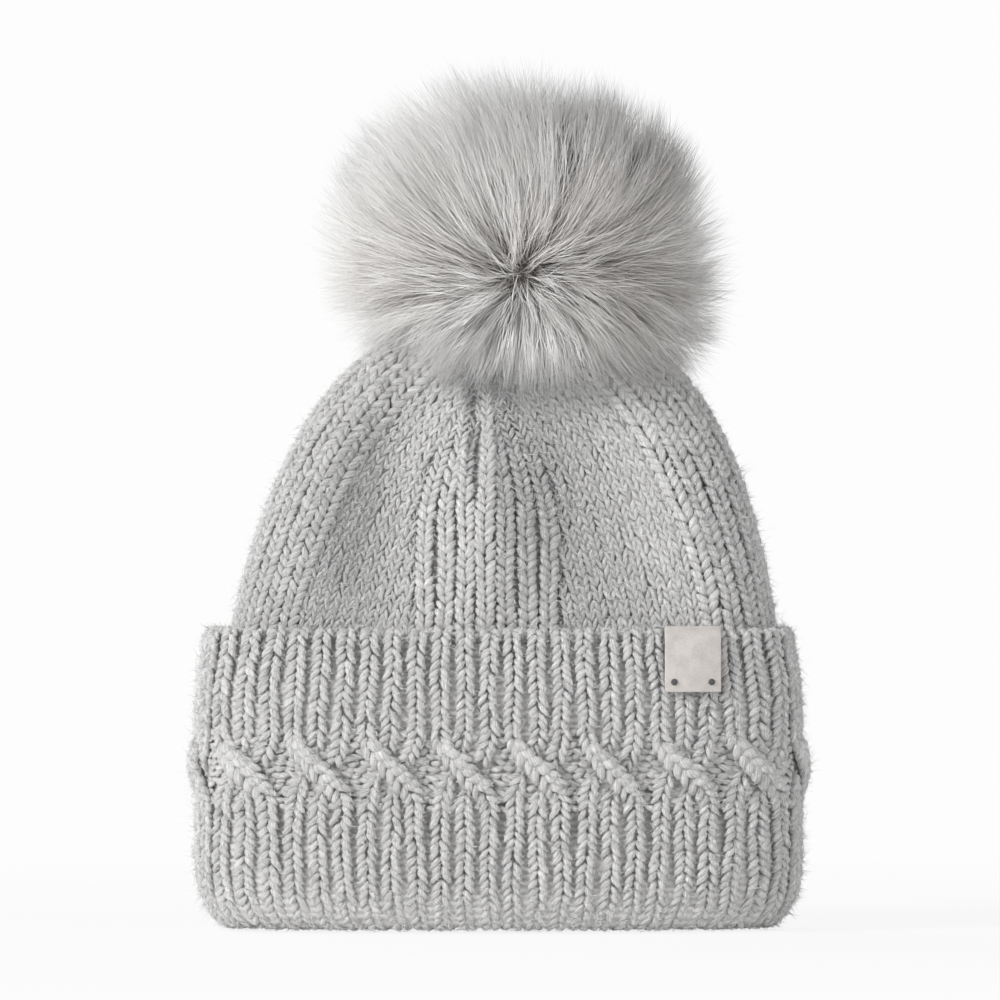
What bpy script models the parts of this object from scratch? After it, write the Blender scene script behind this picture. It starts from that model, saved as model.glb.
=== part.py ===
"""Knitted beanie with a turned-up cuff, and a fur pom held to its crown by a press stud. Metres, +Z up, front towards -Y."""

import math

import bmesh
import bpy
import numpy as np
from mathutils import Matrix, Vector

# Knitted tube, laid softly flat so that it is wider than deep
CUFF_WIDTH = 0.220
CUFF_DEPTH = 0.096
CUFF_HEIGHT = 0.108
KNIT_WALL = 0.006
CUFF_GAP = 0.0018
RIB_COUNT = 60
RIB_DEPTH = 0.0012
FOOT_ROUND_UP = 0.016
RIM_ROUND_UP = 0.018
END_TUCK = 0.009
END_TUCK_ABOVE = 0.012
SQUARENESS = 3.0

# Dome of the crown
CROWN_HEIGHT = 0.219
DOME_START = 0.060
APEX_SHIFT = 0.006
WIDTH_POWER = 0.75
DEPTH_POWER = 1.2
RISE_POWER = 1.11
EYE_RADIUS = 0.004
GATHER_YARN_RADIUS = 0.0008
SEAM_YARN_RADIUS = 0.0008

# Soft folds of the flat-laid crown: ridge, hollow, ridge, hollow and ridge, each as the share of the half width
# at which its line starts behind the rim and ends under the pom
FOLD_DEPTH = 0.008
FOLD_PRESS = 0.0034
FOLD_BEHIND_RIM = 0.013
FOLD_BELOW_TOP = 0.013
FOLD_LINES = ((-0.785, -0.87), (-0.386, -0.574), (-0.01, -0.13), (0.57, 0.266), (0.887, 0.652))

# Press stud between crown and pom
SNAP_RADIUS = 0.008
SNAP_FLANGE = 0.001
SOCKET_HUB_RADIUS = 0.0045
SOCKET_HUB_HEIGHT = 0.0024
SOCKET_FLOOR = 0.0005
SOCKET_LIP = 0.0007
STUD_BALL_RADIUS = 0.0026
STUD_NECK_RADIUS = 0.002
SPRING_WIRE_RADIUS = 0.0004
SPRING_FIT = 0.0001
SPRING_GAP_DEG = 50.0
HUB_CLEARANCE = 0.0009
THREAD_RADIUS = 0.0003
THREAD_CLEARANCE = 0.0003
STITCH_COUNT = 4
PATCH_THICKNESS = 0.0015
PLATEAU_MARGIN = 0.0025

# Pom
SHANK_LENGTH = 0.002
DISC_MARGIN = 0.006
DISC_THICKNESS = 0.002
PELT_RADIUS = 0.034
PELT_HEIGHT = 0.058
PELT_WALL = 0.0012
MOUTH_GAP = 0.0013
GATHER_THREAD_RADIUS = 0.0005
FUR_WIDTH = 0.142
FUR_DEPTH = 0.120
FUR_RISE = 0.071
FUR_SAG = 0.046
FUR_SQUARENESS = 2.2
FUR_SIDE_SHIFT = 0.004
FUR_DROP = 0.016
FUR_LIFT = 0.003
SKIRT_MARGIN = 0.0016

# Sewn tag on the cuff's rim
LABEL_FROM_SIDE = 0.0408
LABEL_WIDTH = 0.020
LABEL_DROP = 0.022
LABEL_THICKNESS = 0.0012
TACK_SPAN = 0.0134
TACK_UP = 0.0036
TACK_RADIUS = 0.0005
KNOT_RADIUS = 0.0012
KNOT_HEIGHT = 0.0007

# Fits and facets
SEAT_GAP = 0.0003
CROWN_SIDES = 48
DOME_STEPS = 9
ARC_STEPS = 3
ROUND_SIDES = 20
FUR_SIDES = 28
FUR_STEPS = 9
THREAD_SIDES = 6

# Places that follow from the sizes above
BODY_INSET = KNIT_WALL + CUFF_GAP
BODY_HALF_WIDTH = CUFF_WIDTH / 2 - BODY_INSET
BODY_HALF_DEPTH = CUFF_DEPTH / 2 - BODY_INSET
FOLD_THICKNESS = 2 * KNIT_WALL + CUFF_GAP
END_TUCK_UP = FOOT_ROUND_UP + END_TUCK_ABOVE
STITCH_OUTER = SNAP_RADIUS + 2 * THREAD_CLEARANCE + THREAD_RADIUS
STITCH_INNER = (SOCKET_HUB_RADIUS + SNAP_RADIUS) / 2
PLATEAU_RADIUS = STITCH_OUTER + PLATEAU_MARGIN
PATCH_TOP = CROWN_HEIGHT - KNIT_WALL - SEAT_GAP
PATCH_BOTTOM = PATCH_TOP - PATCH_THICKNESS
SOCKET_BOTTOM = CROWN_HEIGHT + SEAT_GAP
SOCKET_TOP = SOCKET_BOTTOM + SOCKET_HUB_HEIGHT
STUD_BOTTOM = SOCKET_TOP + HUB_CLEARANCE
STUD_TOP = STUD_BOTTOM + SNAP_FLANGE
DISC_BOTTOM = STUD_TOP + SHANK_LENGTH
DISC_TOP = DISC_BOTTOM + DISC_THICKNESS
DISC_RADIUS = STITCH_OUTER + DISC_MARGIN
STITCH_STAND = THREAD_CLEARANCE + THREAD_RADIUS
PELT_BOTTOM = DISC_BOTTOM - SEAT_GAP - PELT_WALL
PELT_TOP = PELT_BOTTOM + PELT_HEIGHT
PELT_MIDDLE = (PELT_BOTTOM + PELT_TOP) / 2
PELT_FLAT_RADIUS = DISC_RADIUS + SEAT_GAP + PELT_WALL
MOUTH_RADIUS = STITCH_OUTER + THREAD_RADIUS + MOUTH_GAP
FUR_CENTRE = Vector((APEX_SHIFT + FUR_SIDE_SHIFT, 0.0, PELT_MIDDLE - FUR_DROP))
FUR_FLOOR = PELT_BOTTOM + FUR_LIFT
SKIRT_GAP = SEAT_GAP + 2 * SEAM_YARN_RADIUS + SKIRT_MARGIN
LABEL_X = CUFF_WIDTH / 2 - LABEL_FROM_SIDE

# Colours, roughness and metallic value of each material
WOOL = ((0.70, 0.70, 0.71), 0.95, 0.0)
FUR = ((0.66, 0.64, 0.63), 0.85, 0.0)
SUEDE = ((0.62, 0.60, 0.57), 0.9, 0.0)
THREAD = ((0.12, 0.12, 0.13), 0.8, 0.0)
PALE_THREAD = ((0.74, 0.73, 0.72), 0.8, 0.0)
FELT = ((0.60, 0.60, 0.60), 0.95, 0.0)
PELT = ((0.55, 0.48, 0.40), 0.8, 0.0)
WADDING = ((0.85, 0.85, 0.84), 1.0, 0.0)
STEEL = ((0.60, 0.60, 0.62), 0.3, 1.0)
BOARD = ((0.30, 0.28, 0.26), 0.7, 0.0)


def clear_scene():
    for item in list(bpy.data.objects):
        bpy.data.objects.remove(item, do_unlink=True)


def material(name, look):
    colour, roughness, metallic = look
    made = bpy.data.materials.new(name)
    made.use_nodes = True
    shader = made.node_tree.nodes["Principled BSDF"]
    shader.inputs["Base Color"].default_value = (*colour, 1.0)
    shader.inputs["Roughness"].default_value = roughness
    shader.inputs["Metallic"].default_value = metallic
    return made


def add_object(name, bm, look, carrier=None):
    """One named object from a bmesh, facing out, riding on its carrier empty."""
    bmesh.ops.recalc_face_normals(bm, faces=bm.faces)
    if bm.calc_volume(signed=True) < 0:
        bmesh.ops.reverse_faces(bm, faces=bm.faces)
    mesh = bpy.data.meshes.new(name)
    bm.to_mesh(mesh)
    bm.free()
    mesh.shade_smooth()
    mesh.set_sharp_from_angle(angle=math.radians(40))
    mesh.materials.append(material(name, look))
    made = bpy.data.objects.new(name, mesh)
    bpy.context.collection.objects.link(made)
    if carrier is not None:
        made.parent = carrier
        made.location = -carrier.location
    return made


def add_cutter(name, bm):
    made = add_object(name, bm, BOARD)
    made.hide_render = True
    made.display_type = "WIRE"
    return made


def cut(target, cutter):
    boolean = target.modifiers.new(cutter.name, "BOOLEAN")
    boolean.operation = "DIFFERENCE"
    boolean.solver = "EXACT"
    boolean.object = cutter


def add_empty(name, place):
    made = bpy.data.objects.new(name, None)
    made.location = place
    bpy.context.collection.objects.link(made)
    return made


def loft(rings, first_pole=None, last_pole=None, closed=False):
    """Quads between rings of equal length, with a fan at each pole, or joined from last to first."""
    bm = bmesh.new()
    rows = [[bm.verts.new(point) for point in ring] for ring in rings]
    pairs = list(zip(rows, rows[1:]))
    if closed:
        pairs.append((rows[-1], rows[0]))
    for low, high in pairs:
        for i in range(len(low)):
            j = (i + 1) % len(low)
            bm.faces.new((low[i], low[j], high[j], high[i]))
    for pole, row in ((first_pole, rows[0]), (last_pole, rows[-1])):
        if pole is not None:
            tip = bm.verts.new(pole)
            for i in range(len(row)):
                bm.faces.new((tip, row[i], row[(i + 1) % len(row)]))
    return bm


def oval(half_width, half_depth, squareness, count, centre_x, height):
    """Points evenly spaced along a squared oval, from +X towards +Y."""
    angles = np.linspace(0.0, 2.0 * math.pi, 1441)
    cos, sin = np.cos(angles), np.sin(angles)
    xs = half_width * np.sign(cos) * np.abs(cos) ** (2.0 / squareness)
    ys = half_depth * np.sign(sin) * np.abs(sin) ** (2.0 / squareness)
    along = np.concatenate([[0.0], np.cumsum(np.hypot(np.diff(xs), np.diff(ys)))])
    wanted = np.linspace(0.0, along[-1], count, endpoint=False)
    xs, ys = np.interp(wanted, along, xs), np.interp(wanted, along, ys)
    return [Vector((centre_x + x, y, height)) for x, y in zip(xs, ys)]


def circle(radius, count, centre_x, height):
    return oval(radius, radius, 2.0, count, centre_x, height)


def lathe(profile, centre_x, sides=ROUND_SIDES, closed=False):
    """A profile of (radius, height) turned about a vertical axis. Ends on the axis close with a fan."""
    ends = [None, None]
    if not closed:
        ends = [Vector((centre_x, 0.0, profile[0][1])), Vector((centre_x, 0.0, profile[-1][1]))]
    rings = [circle(r, sides, centre_x, z) for r, z in profile if r > 0.0]
    return loft(rings, ends[0], ends[1], closed)


def arc(centre, radii, start, end, steps=ARC_STEPS):
    """Points (across, height) along an elliptical arc, angles in degrees."""
    points = []
    for k in range(steps + 1):
        angle = math.radians(start + (end - start) * k / steps)
        points.append((centre[0] + radii[0] * math.cos(angle), centre[1] + radii[1] * math.sin(angle)))
    return points


def offset_path(points, distance):
    """A flat open path moved sideways, to the left of its direction."""
    moved = []
    for i, (u, v) in enumerate(points):
        before, after = points[max(i - 1, 0)], points[min(i + 1, len(points) - 1)]
        along = Vector((after[0] - before[0], after[1] - before[1])).normalized()
        moved.append((u - along.y * distance, v + along.x * distance))
    return moved


def tube(points, across, radius, closed, sides=THREAD_SIDES):
    """A round tube along points that lie in the plane square to across."""
    rings = []
    last = len(points) - 1
    for i, point in enumerate(points):
        before = points[i - 1] if closed or i > 0 else point
        after = points[(i + 1) % len(points)] if closed or i < last else point
        side = (after - before).normalized().cross(across).normalized()
        ring = []
        for k in range(sides):
            angle = 2.0 * math.pi * k / sides
            ring.append(point + radius * (math.cos(angle) * side + math.sin(angle) * across))
        rings.append(ring)
    if closed:
        return loft(rings, closed=True)
    return loft(rings, points[0], points[-1])


def end_tuck(height):
    """How far the flat tube's two ends draw in towards the folded foot."""
    share = max(1.0 - height / END_TUCK_UP, 0.0)
    return END_TUCK * (1.0 - math.sqrt(1.0 - share**2))


def cuff_rim():
    """The cuff's rim as (inset, height): up the outer wall, over the rim and down to the inner wall."""
    start = CUFF_HEIGHT - RIM_ROUND_UP
    outer_round, inner_round = KNIT_WALL * 2 / 3, KNIT_WALL / 6
    over = arc((outer_round, start), (-outer_round, RIM_ROUND_UP), 0, 90)
    back = arc((KNIT_WALL - inner_round, CUFF_HEIGHT - inner_round), (inner_round, inner_round), 90, 0, 2)
    return over + back


def cuff_section():
    """Closed section of the cuff as (inset, height, ribbed): outer wall, rim, inner wall and folded foot."""
    outer_round, inner_round = FOLD_THICKNESS / 2, FOLD_THICKNESS / 6
    foot = arc((outer_round, FOOT_ROUND_UP), (-outer_round, FOOT_ROUND_UP), -90, 0)
    wall = [(KNIT_WALL, END_TUCK_UP), (KNIT_WALL, KNIT_WALL)]
    web = [(FOLD_THICKNESS, KNIT_WALL), (FOLD_THICKNESS, inner_round)]
    toe = [(FOLD_THICKNESS - inner_round, 0.0)]
    section = [(u, z, 0 < i) for i, (u, z) in enumerate(foot)] + [(0.0, END_TUCK_UP, True)]
    section += [(u, z, u < KNIT_WALL / 2) for u, z in cuff_rim()]
    return section + [(u, z, False) for u, z in wall + web + toe]


def build_cuff(tack_holes):
    count = 2 * RIB_COUNT
    rings = []
    for inset, height, ribbed in cuff_section():
        half_width = CUFF_WIDTH / 2 - end_tuck(height)
        peak = oval(half_width - inset, CUFF_DEPTH / 2 - inset, SQUARENESS, count, 0.0, height)
        deep = inset + (RIB_DEPTH if ribbed else 0.0)
        groove = oval(half_width - deep, CUFF_DEPTH / 2 - deep, SQUARENESS, count, 0.0, height)
        rings.append([peak[i] if i % 2 else groove[i] for i in range(count)])
    cuff = add_object("knit_cuff", loft(rings, closed=True), WOOL)
    cut(cuff, tack_holes)


def crown_row(angle, inset):
    """Half width, half depth, squareness, centre and height of the crown at a dome angle in degrees, set in by inset."""
    cos, sin = max(math.cos(math.radians(angle)), 0.0), math.sin(math.radians(angle))
    if angle >= 90:
        cos = 0.0
    rise = sin**RISE_POWER
    half_width = PLATEAU_RADIUS + (BODY_HALF_WIDTH - inset - PLATEAU_RADIUS) * cos**WIDTH_POWER
    half_depth = PLATEAU_RADIUS + (BODY_HALF_DEPTH - inset - PLATEAU_RADIUS) * cos**DEPTH_POWER
    squareness = 2.0 + (SQUARENESS - 2.0) * cos
    height = DOME_START + (CROWN_HEIGHT - inset - DOME_START) * rise
    return half_width, half_depth, squareness, APEX_SHIFT * rise, height


def fold_share(share, on_front, height):
    """How deep the knit lies in a fold, from 0 on a ridge to 1 in a hollow, at a share of the half width."""
    start, end = CUFF_HEIGHT - FOLD_BEHIND_RIM, CROWN_HEIGHT - FOLD_BELOW_TOP
    up = (height - start) / (end - start)
    if up <= 0.0 or up >= 1.0:
        return 0.0
    lines = [low + (high - low) * up for low, high in FOLD_LINES]
    place = share if on_front else lines[2] - share  # the back's middle ridge carries the seam
    deep = 0.0
    for k, (near, far) in enumerate(zip(lines, lines[1:])):
        part = min(max((place - near) / (far - near), 0.0), 1.0)
        deep += (-1) ** k * (1.0 - math.cos(math.pi * part)) / 2
    return deep * math.sin(math.pi * up)


def crown_ring(angle, inset, fold_depth=0.0):
    half_width, half_depth, squareness, centre_x, height = crown_row(angle, inset)
    ring = oval(half_width, half_depth, squareness, CROWN_SIDES, centre_x, height)
    for point in ring:
        deep = fold_share((point.x - centre_x) / half_width, point.y < 0.0, height)
        point.y -= math.copysign(fold_depth * deep, point.y)
    return ring


def tube_ring(inset, height):
    """The straight tube under the dome."""
    half_width = BODY_HALF_WIDTH - inset - end_tuck(height)
    return oval(half_width, BODY_HALF_DEPTH - inset, SQUARENESS, CROWN_SIDES, 0.0, height)


def dome_angle(height):
    rise = (height - DOME_START) / (CROWN_HEIGHT - DOME_START)
    return math.degrees(math.asin(rise ** (1.0 / RISE_POWER)))


def build_crown(needle_holes):
    angles = [90.0 * k / DOME_STEPS for k in range(DOME_STEPS + 1)]
    foot = KNIT_WALL + SEAT_GAP
    outer = [crown_ring(angle, 0.0, FOLD_DEPTH) for angle in angles]
    inner = [crown_ring(angle, KNIT_WALL, FOLD_DEPTH - FOLD_PRESS) for angle in reversed(angles)]
    outer_foot = [tube_ring(0.0, height) for height in (foot, END_TUCK_UP)]
    inner_foot = [tube_ring(KNIT_WALL, height) for height in (END_TUCK_UP, foot)]
    eye = [
        circle(EYE_RADIUS, CROWN_SIDES, APEX_SHIFT, CROWN_HEIGHT),
        circle(EYE_RADIUS, CROWN_SIDES, APEX_SHIFT, CROWN_HEIGHT - KNIT_WALL),
    ]
    rings = outer_foot + outer + eye + inner + inner_foot
    crown = add_object("knit_crown", loft(rings, closed=True), WOOL)
    cut(crown, needle_holes)


def build_gather_yarn():
    ring_radius = EYE_RADIUS - SEAT_GAP - GATHER_YARN_RADIUS
    centre = (ring_radius, CROWN_HEIGHT - KNIT_WALL / 2)
    radii = (GATHER_YARN_RADIUS, GATHER_YARN_RADIUS)
    section = arc(centre, radii, 0, 360, 2 * ARC_STEPS)[:-1]
    add_object("crown_gather_yarn", lathe(section, APEX_SHIFT, closed=True), WOOL)


def build_seams():
    """The sewn line up the back, on the crown and on the turned-up cuff."""
    stand = SEAT_GAP + SEAM_YARN_RADIUS
    start = dome_angle(CUFF_HEIGHT + stand)
    line, centres = [], []
    for k in range(DOME_STEPS + 1):
        row = crown_row(start + (90.0 - start) * k / (DOME_STEPS + 1), 0.0)
        line.append((row[1], row[4]))
        centres.append(row[3])
    line = offset_path(line, -stand)
    points = [Vector((x, y, z)) for x, (y, z) in zip(centres, line)]
    add_object("crown_seam", tube(points, Vector((1.0, 0.0, 0.0)), SEAM_YARN_RADIUS, False), WOOL)
    back = CUFF_DEPTH / 2 + stand
    ends = [Vector((0.0, back, FOOT_ROUND_UP)), Vector((0.0, back, CUFF_HEIGHT - RIM_ROUND_UP))]
    add_object("cuff_seam", tube(ends, Vector((1.0, 0.0, 0.0)), SEAM_YARN_RADIUS, False), WOOL)


def front_point(x, inset, height):
    """A point on the cuff's front at x, set in from its outer surface."""
    half_width, half_depth = CUFF_WIDTH / 2 - inset, CUFF_DEPTH / 2 - inset
    share = 1.0 - abs(x / half_width) ** SQUARENESS
    return Vector((x, -half_depth * share ** (1.0 / SQUARENESS), height))


def front_normal(x):
    step = LABEL_WIDTH / 10
    across = front_point(x + step, 0.0, 0.0) - front_point(x - step, 0.0, 0.0)
    return across.cross(Vector((0.0, 0.0, 1.0))).normalized()


def build_label(tack_holes):
    foot = CUFF_HEIGHT - LABEL_DROP
    path = [(0.0, foot)] + [p for p in cuff_rim() if p[1] > foot] + [(KNIT_WALL, foot)]
    near = offset_path(path, SEAT_GAP)
    far = offset_path(path, SEAT_GAP + LABEL_THICKNESS)
    section = near + far[::-1]
    stations = 4
    xs = [LABEL_X + LABEL_WIDTH * (k / stations - 0.5) for k in range(stations + 1)]
    bm = bmesh.new()
    rows = [[bm.verts.new(front_point(x, inset, z)) for inset, z in section] for x in xs]
    size = len(section)
    for low, high in zip(rows, rows[1:]):
        for i in range(size):
            j = (i + 1) % size
            bm.faces.new((low[i], low[j], high[j], high[i]))
    for row in (rows[0], rows[-1]):
        for i in range(len(path) - 1):
            bm.faces.new((row[i], row[i + 1], row[size - 2 - i], row[size - 1 - i]))
    label = add_object("label_strap", bm, SUEDE)
    cut(label, tack_holes)


def tack_places():
    """Name, x, and the matrix that stands a tack on the label's face, pointing out of it."""
    height = CUFF_HEIGHT - LABEL_DROP + TACK_UP
    places = []
    for name, side in (("label_tack_left", -0.5), ("label_tack_right", 0.5)):
        x = LABEL_X + side * TACK_SPAN
        face = front_point(x, -(SEAT_GAP + LABEL_THICKNESS), height)
        turn = front_normal(x).to_track_quat("Z", "Y").to_matrix().to_4x4()
        places.append((name, Matrix.Translation(face) @ turn))
    return places


def build_tacks():
    """Two knotted threads through the label's leaves and the cuff."""
    back = -(KNIT_WALL + 2 * (SEAT_GAP + LABEL_THICKNESS))
    profile = [(0.0, back), (TACK_RADIUS, back), (TACK_RADIUS, SEAT_GAP)]
    knot = arc((0.0, SEAT_GAP), (KNOT_RADIUS, KNOT_HEIGHT), 0, 90)
    for name, place in tack_places():
        bm = lathe(profile + knot[:-1] + [(0.0, knot[-1][1])], 0.0, THREAD_SIDES * 2)
        bmesh.ops.transform(bm, matrix=place, verts=bm.verts)
        add_object(name, bm, THREAD)


def tack_hole_cutter():
    radius = TACK_RADIUS + THREAD_CLEARANCE
    reach = 2 * (KNIT_WALL + CUFF_GAP)
    joined = bmesh.new()
    for _, place in tack_places():
        hole = lathe([(0.0, -reach), (radius, -reach), (radius, reach), (0.0, reach)], 0.0, THREAD_SIDES * 2)
        bmesh.ops.transform(hole, matrix=place, verts=hole.verts)
        append(joined, hole)
    return add_cutter("tack_holes", joined)


def append(target, source):
    """Moves one bmesh's faces into another."""
    copies = {vert: target.verts.new(vert.co) for vert in source.verts}
    for face in source.faces:
        target.faces.new([copies[vert] for vert in face.verts])
    source.free()


def stitch_angles(turn):
    return [2.0 * math.pi * (k + turn) / STITCH_COUNT for k in range(STITCH_COUNT)]


def needle_hole_cutter(name, turn, low, high):
    """Holes for every stitch of one half of the press stud."""
    radius = THREAD_RADIUS + THREAD_CLEARANCE
    joined = bmesh.new()
    for angle in stitch_angles(turn):
        for reach in (STITCH_INNER, STITCH_OUTER):
            hole = lathe([(0.0, low), (radius, low), (radius, high), (0.0, high)], 0.0, THREAD_SIDES + 2)
            place = Vector((APEX_SHIFT + reach * math.cos(angle), reach * math.sin(angle), 0.0))
            bmesh.ops.translate(hole, vec=place, verts=hole.verts)
            append(joined, hole)
    return add_cutter(name, joined)


def build_stitches(name, turn, low, high, carrier=None):
    """Closed loops of thread over the flange's edge and through its holes."""
    corner = (STITCH_OUTER - STITCH_INNER) / 3
    for number, angle in enumerate(stitch_angles(turn), 1):
        out = Vector((math.cos(angle), math.sin(angle), 0.0))
        loop = arc((STITCH_OUTER - corner, high - corner), (corner, corner), 0, 90, 2)
        loop += arc((STITCH_INNER + corner, high - corner), (corner, corner), 90, 180, 2)
        loop += arc((STITCH_INNER + corner, low + corner), (corner, corner), 180, 270, 2)
        loop += arc((STITCH_OUTER - corner, low + corner), (corner, corner), 270, 360, 2)
        axis = Vector((APEX_SHIFT, 0.0, 0.0))
        points = [axis + out * reach + Vector((0.0, 0.0, z)) for reach, z in loop]
        across = out.cross(Vector((0.0, 0.0, 1.0)))
        bm = tube(points, across, THREAD_RADIUS, True)
        add_object(f"{name}_{number}", bm, PALE_THREAD, carrier)


def build_patch(needle_holes):
    radius = PLATEAU_RADIUS - SEAT_GAP
    profile = [(0.0, PATCH_TOP), (radius, PATCH_TOP), (radius, PATCH_BOTTOM), (0.0, PATCH_BOTTOM)]
    patch = add_object("backing_patch", lathe(profile, APEX_SHIFT), FELT)
    cut(patch, needle_holes)


def spring_ring_radius():
    return STUD_BALL_RADIUS + SPRING_FIT + SPRING_WIRE_RADIUS


def build_socket(needle_holes):
    """Sprung half of the press stud: a flange with a hub that holds the spring under its lip."""
    bore = STUD_BALL_RADIUS + SEAT_GAP
    chamber = spring_ring_radius() + SPRING_WIRE_RADIUS + SEAT_GAP
    flange_top = SOCKET_BOTTOM + SNAP_FLANGE
    profile = [
        (0.0, SOCKET_BOTTOM + SOCKET_FLOOR),
        (chamber, SOCKET_BOTTOM + SOCKET_FLOOR),
        (chamber, SOCKET_TOP - SOCKET_LIP),
        (bore, SOCKET_TOP - SOCKET_LIP),
        (bore, SOCKET_TOP),
        (SOCKET_HUB_RADIUS, SOCKET_TOP),
        (SOCKET_HUB_RADIUS, flange_top),
        (SNAP_RADIUS, flange_top),
        (SNAP_RADIUS, SOCKET_BOTTOM),
        (0.0, SOCKET_BOTTOM),
    ]
    socket = add_object("snap_socket", lathe(profile, APEX_SHIFT), STEEL)
    cut(socket, needle_holes)


def build_spring(carrier):
    """Open wire ring that grips the stud's ball."""
    height = SOCKET_BOTTOM + SOCKET_FLOOR + SEAT_GAP + SPRING_WIRE_RADIUS
    radius = spring_ring_radius()
    half_gap = SPRING_GAP_DEG / 2
    points = arc((0.0, 0.0), (radius, radius), half_gap, 360 - half_gap, ROUND_SIDES)
    path = [Vector((APEX_SHIFT + x, y, height)) for x, y in points]
    add_object("socket_spring", tube(path, Vector((0.0, 0.0, 1.0)), SPRING_WIRE_RADIUS, False), STEEL, carrier)


def build_stud(needle_holes, carrier):
    ball_bottom = SOCKET_BOTTOM + SOCKET_FLOOR + SEAT_GAP
    ball_top = SOCKET_TOP - SOCKET_LIP
    ball_middle = (ball_bottom + ball_top) / 2
    neck_start = ball_middle + (ball_top - ball_middle) * 0.8
    profile = [
        (0.0, STUD_TOP),
        (SNAP_RADIUS, STUD_TOP),
        (SNAP_RADIUS, STUD_BOTTOM),
        (STUD_NECK_RADIUS, STUD_BOTTOM),
        (STUD_NECK_RADIUS, neck_start),
        (STUD_BALL_RADIUS, ball_middle),
        (STUD_NECK_RADIUS, ball_bottom),
        (0.0, ball_bottom),
    ]
    stud = add_object("snap_stud", lathe(profile, APEX_SHIFT), STEEL, carrier)
    cut(stud, needle_holes)


def build_disc(needle_holes, carrier):
    profile = [(0.0, DISC_TOP), (DISC_RADIUS, DISC_TOP), (DISC_RADIUS, DISC_BOTTOM), (0.0, DISC_BOTTOM)]
    disc = add_object("pom_base_disc", lathe(profile, APEX_SHIFT), BOARD, carrier)
    cut(disc, needle_holes)


def pouch_profile(inset, floor=None):
    """(radius, height) up the stuffed pouch, set in by inset, from its flat foot or from a given height."""
    flat = PELT_FLAT_RADIUS - inset
    widest = PELT_RADIUS - inset
    low, high = PELT_BOTTOM + inset, PELT_TOP - inset
    start = 0.0
    if floor is not None:
        start = math.degrees(math.acos((PELT_MIDDLE - floor) / (PELT_MIDDLE - low)))
    steps = 2 * ARC_STEPS
    profile = []
    for k in range(steps + 1):
        angle = math.radians(start + (90.0 - start) * k / steps)
        profile.append((flat + (widest - flat) * math.sin(angle), PELT_MIDDLE - (PELT_MIDDLE - low) * math.cos(angle)))
    upper = arc((0.0, PELT_MIDDLE), (widest, high - PELT_MIDDLE), 0, 90, steps)
    return profile + upper[1:-1] + [(0.0, high)]


def build_pelt(carrier):
    """Pouch of pelt, drawn in under the base disc, with its mouth open."""
    outer = [(MOUTH_RADIUS, PELT_BOTTOM)] + pouch_profile(0.0)
    inner = [(MOUTH_RADIUS, PELT_BOTTOM + PELT_WALL)] + pouch_profile(PELT_WALL)
    add_object("pom_pelt", lathe(inner[::-1] + outer, APEX_SHIFT), PELT, carrier)


def build_gather_thread(carrier):
    """Drawn thread round the pouch's mouth."""
    ring_radius = MOUTH_RADIUS + 2 * GATHER_THREAD_RADIUS
    height = PELT_BOTTOM - SEAT_GAP - GATHER_THREAD_RADIUS
    section = arc((ring_radius, height), (GATHER_THREAD_RADIUS, GATHER_THREAD_RADIUS), 0, 360, THREAD_SIDES)
    add_object("pom_gather_thread", lathe(section[:-1], APEX_SHIFT, closed=True), PALE_THREAD, carrier)


def build_stuffing(carrier):
    floor = DISC_TOP + 2 * STITCH_STAND
    profile = pouch_profile(PELT_WALL + SEAT_GAP, floor)
    add_object("pom_stuffing", lathe([(0.0, floor)] + profile, APEX_SHIFT), WADDING, carrier)


def fur_latitude(height):
    up = height - FUR_CENTRE.z
    share = up / (FUR_RISE if up > 0.0 else FUR_SAG)
    return math.degrees(math.copysign(math.asin(abs(share) ** (FUR_SQUARENESS / 2)), share))


def fur_ring(latitude):
    cos, sin = math.cos(math.radians(latitude)), math.sin(math.radians(latitude))
    scale = cos ** (2.0 / FUR_SQUARENESS)
    share = math.copysign(abs(sin) ** (2.0 / FUR_SQUARENESS), sin)
    height = FUR_CENTRE.z + (FUR_RISE if share > 0.0 else FUR_SAG) * share
    return oval(FUR_WIDTH / 2 * scale, FUR_DEPTH / 2 * scale, 2.0, FUR_SIDES, FUR_CENTRE.x, height)


def build_fur(carrier):
    """The sagging ball of fur, open below where the pouch comes through."""
    top = FUR_CENTRE + Vector((0.0, 0.0, FUR_RISE))
    floor = fur_latitude(FUR_FLOOR)
    outer = [fur_ring(90.0 + (floor - 90.0) * (k + 1) / FUR_STEPS) for k in range(FUR_STEPS)]
    profile = pouch_profile(-SEAT_GAP, FUR_FLOOR)
    inner = [circle(r, FUR_SIDES, APEX_SHIFT, z) for r, z in profile[:-1]]
    tip = Vector((APEX_SHIFT, 0.0, profile[-1][1]))
    add_object("pom_fur", loft(outer + inner, top, tip), FUR, carrier)


def skirt_cutters():
    """The crown with room for hair, and the well round the pouch and press stud."""
    angles = [90.0 * k / DOME_STEPS for k in range(2, DOME_STEPS + 1)]
    rings = [crown_ring(angle, -SKIRT_GAP) for angle in angles]
    low, high = crown_row(angles[0], -SKIRT_GAP), crown_row(90.0, -SKIRT_GAP)
    poles = Vector((low[3], 0.0, low[4])), Vector((high[3], 0.0, high[4]))
    crown = add_cutter("skirt_crown_room", loft(rings, poles[0], poles[1]))
    radius = pouch_profile(-SEAT_GAP, FUR_FLOOR)[0][0]
    low, high = CROWN_HEIGHT - KNIT_WALL, FUR_FLOOR + KNIT_WALL
    well = lathe([(0.0, high), (radius, high), (radius, low), (0.0, low)], APEX_SHIFT, FUR_SIDES)
    return crown, add_cutter("skirt_well", well)


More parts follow.
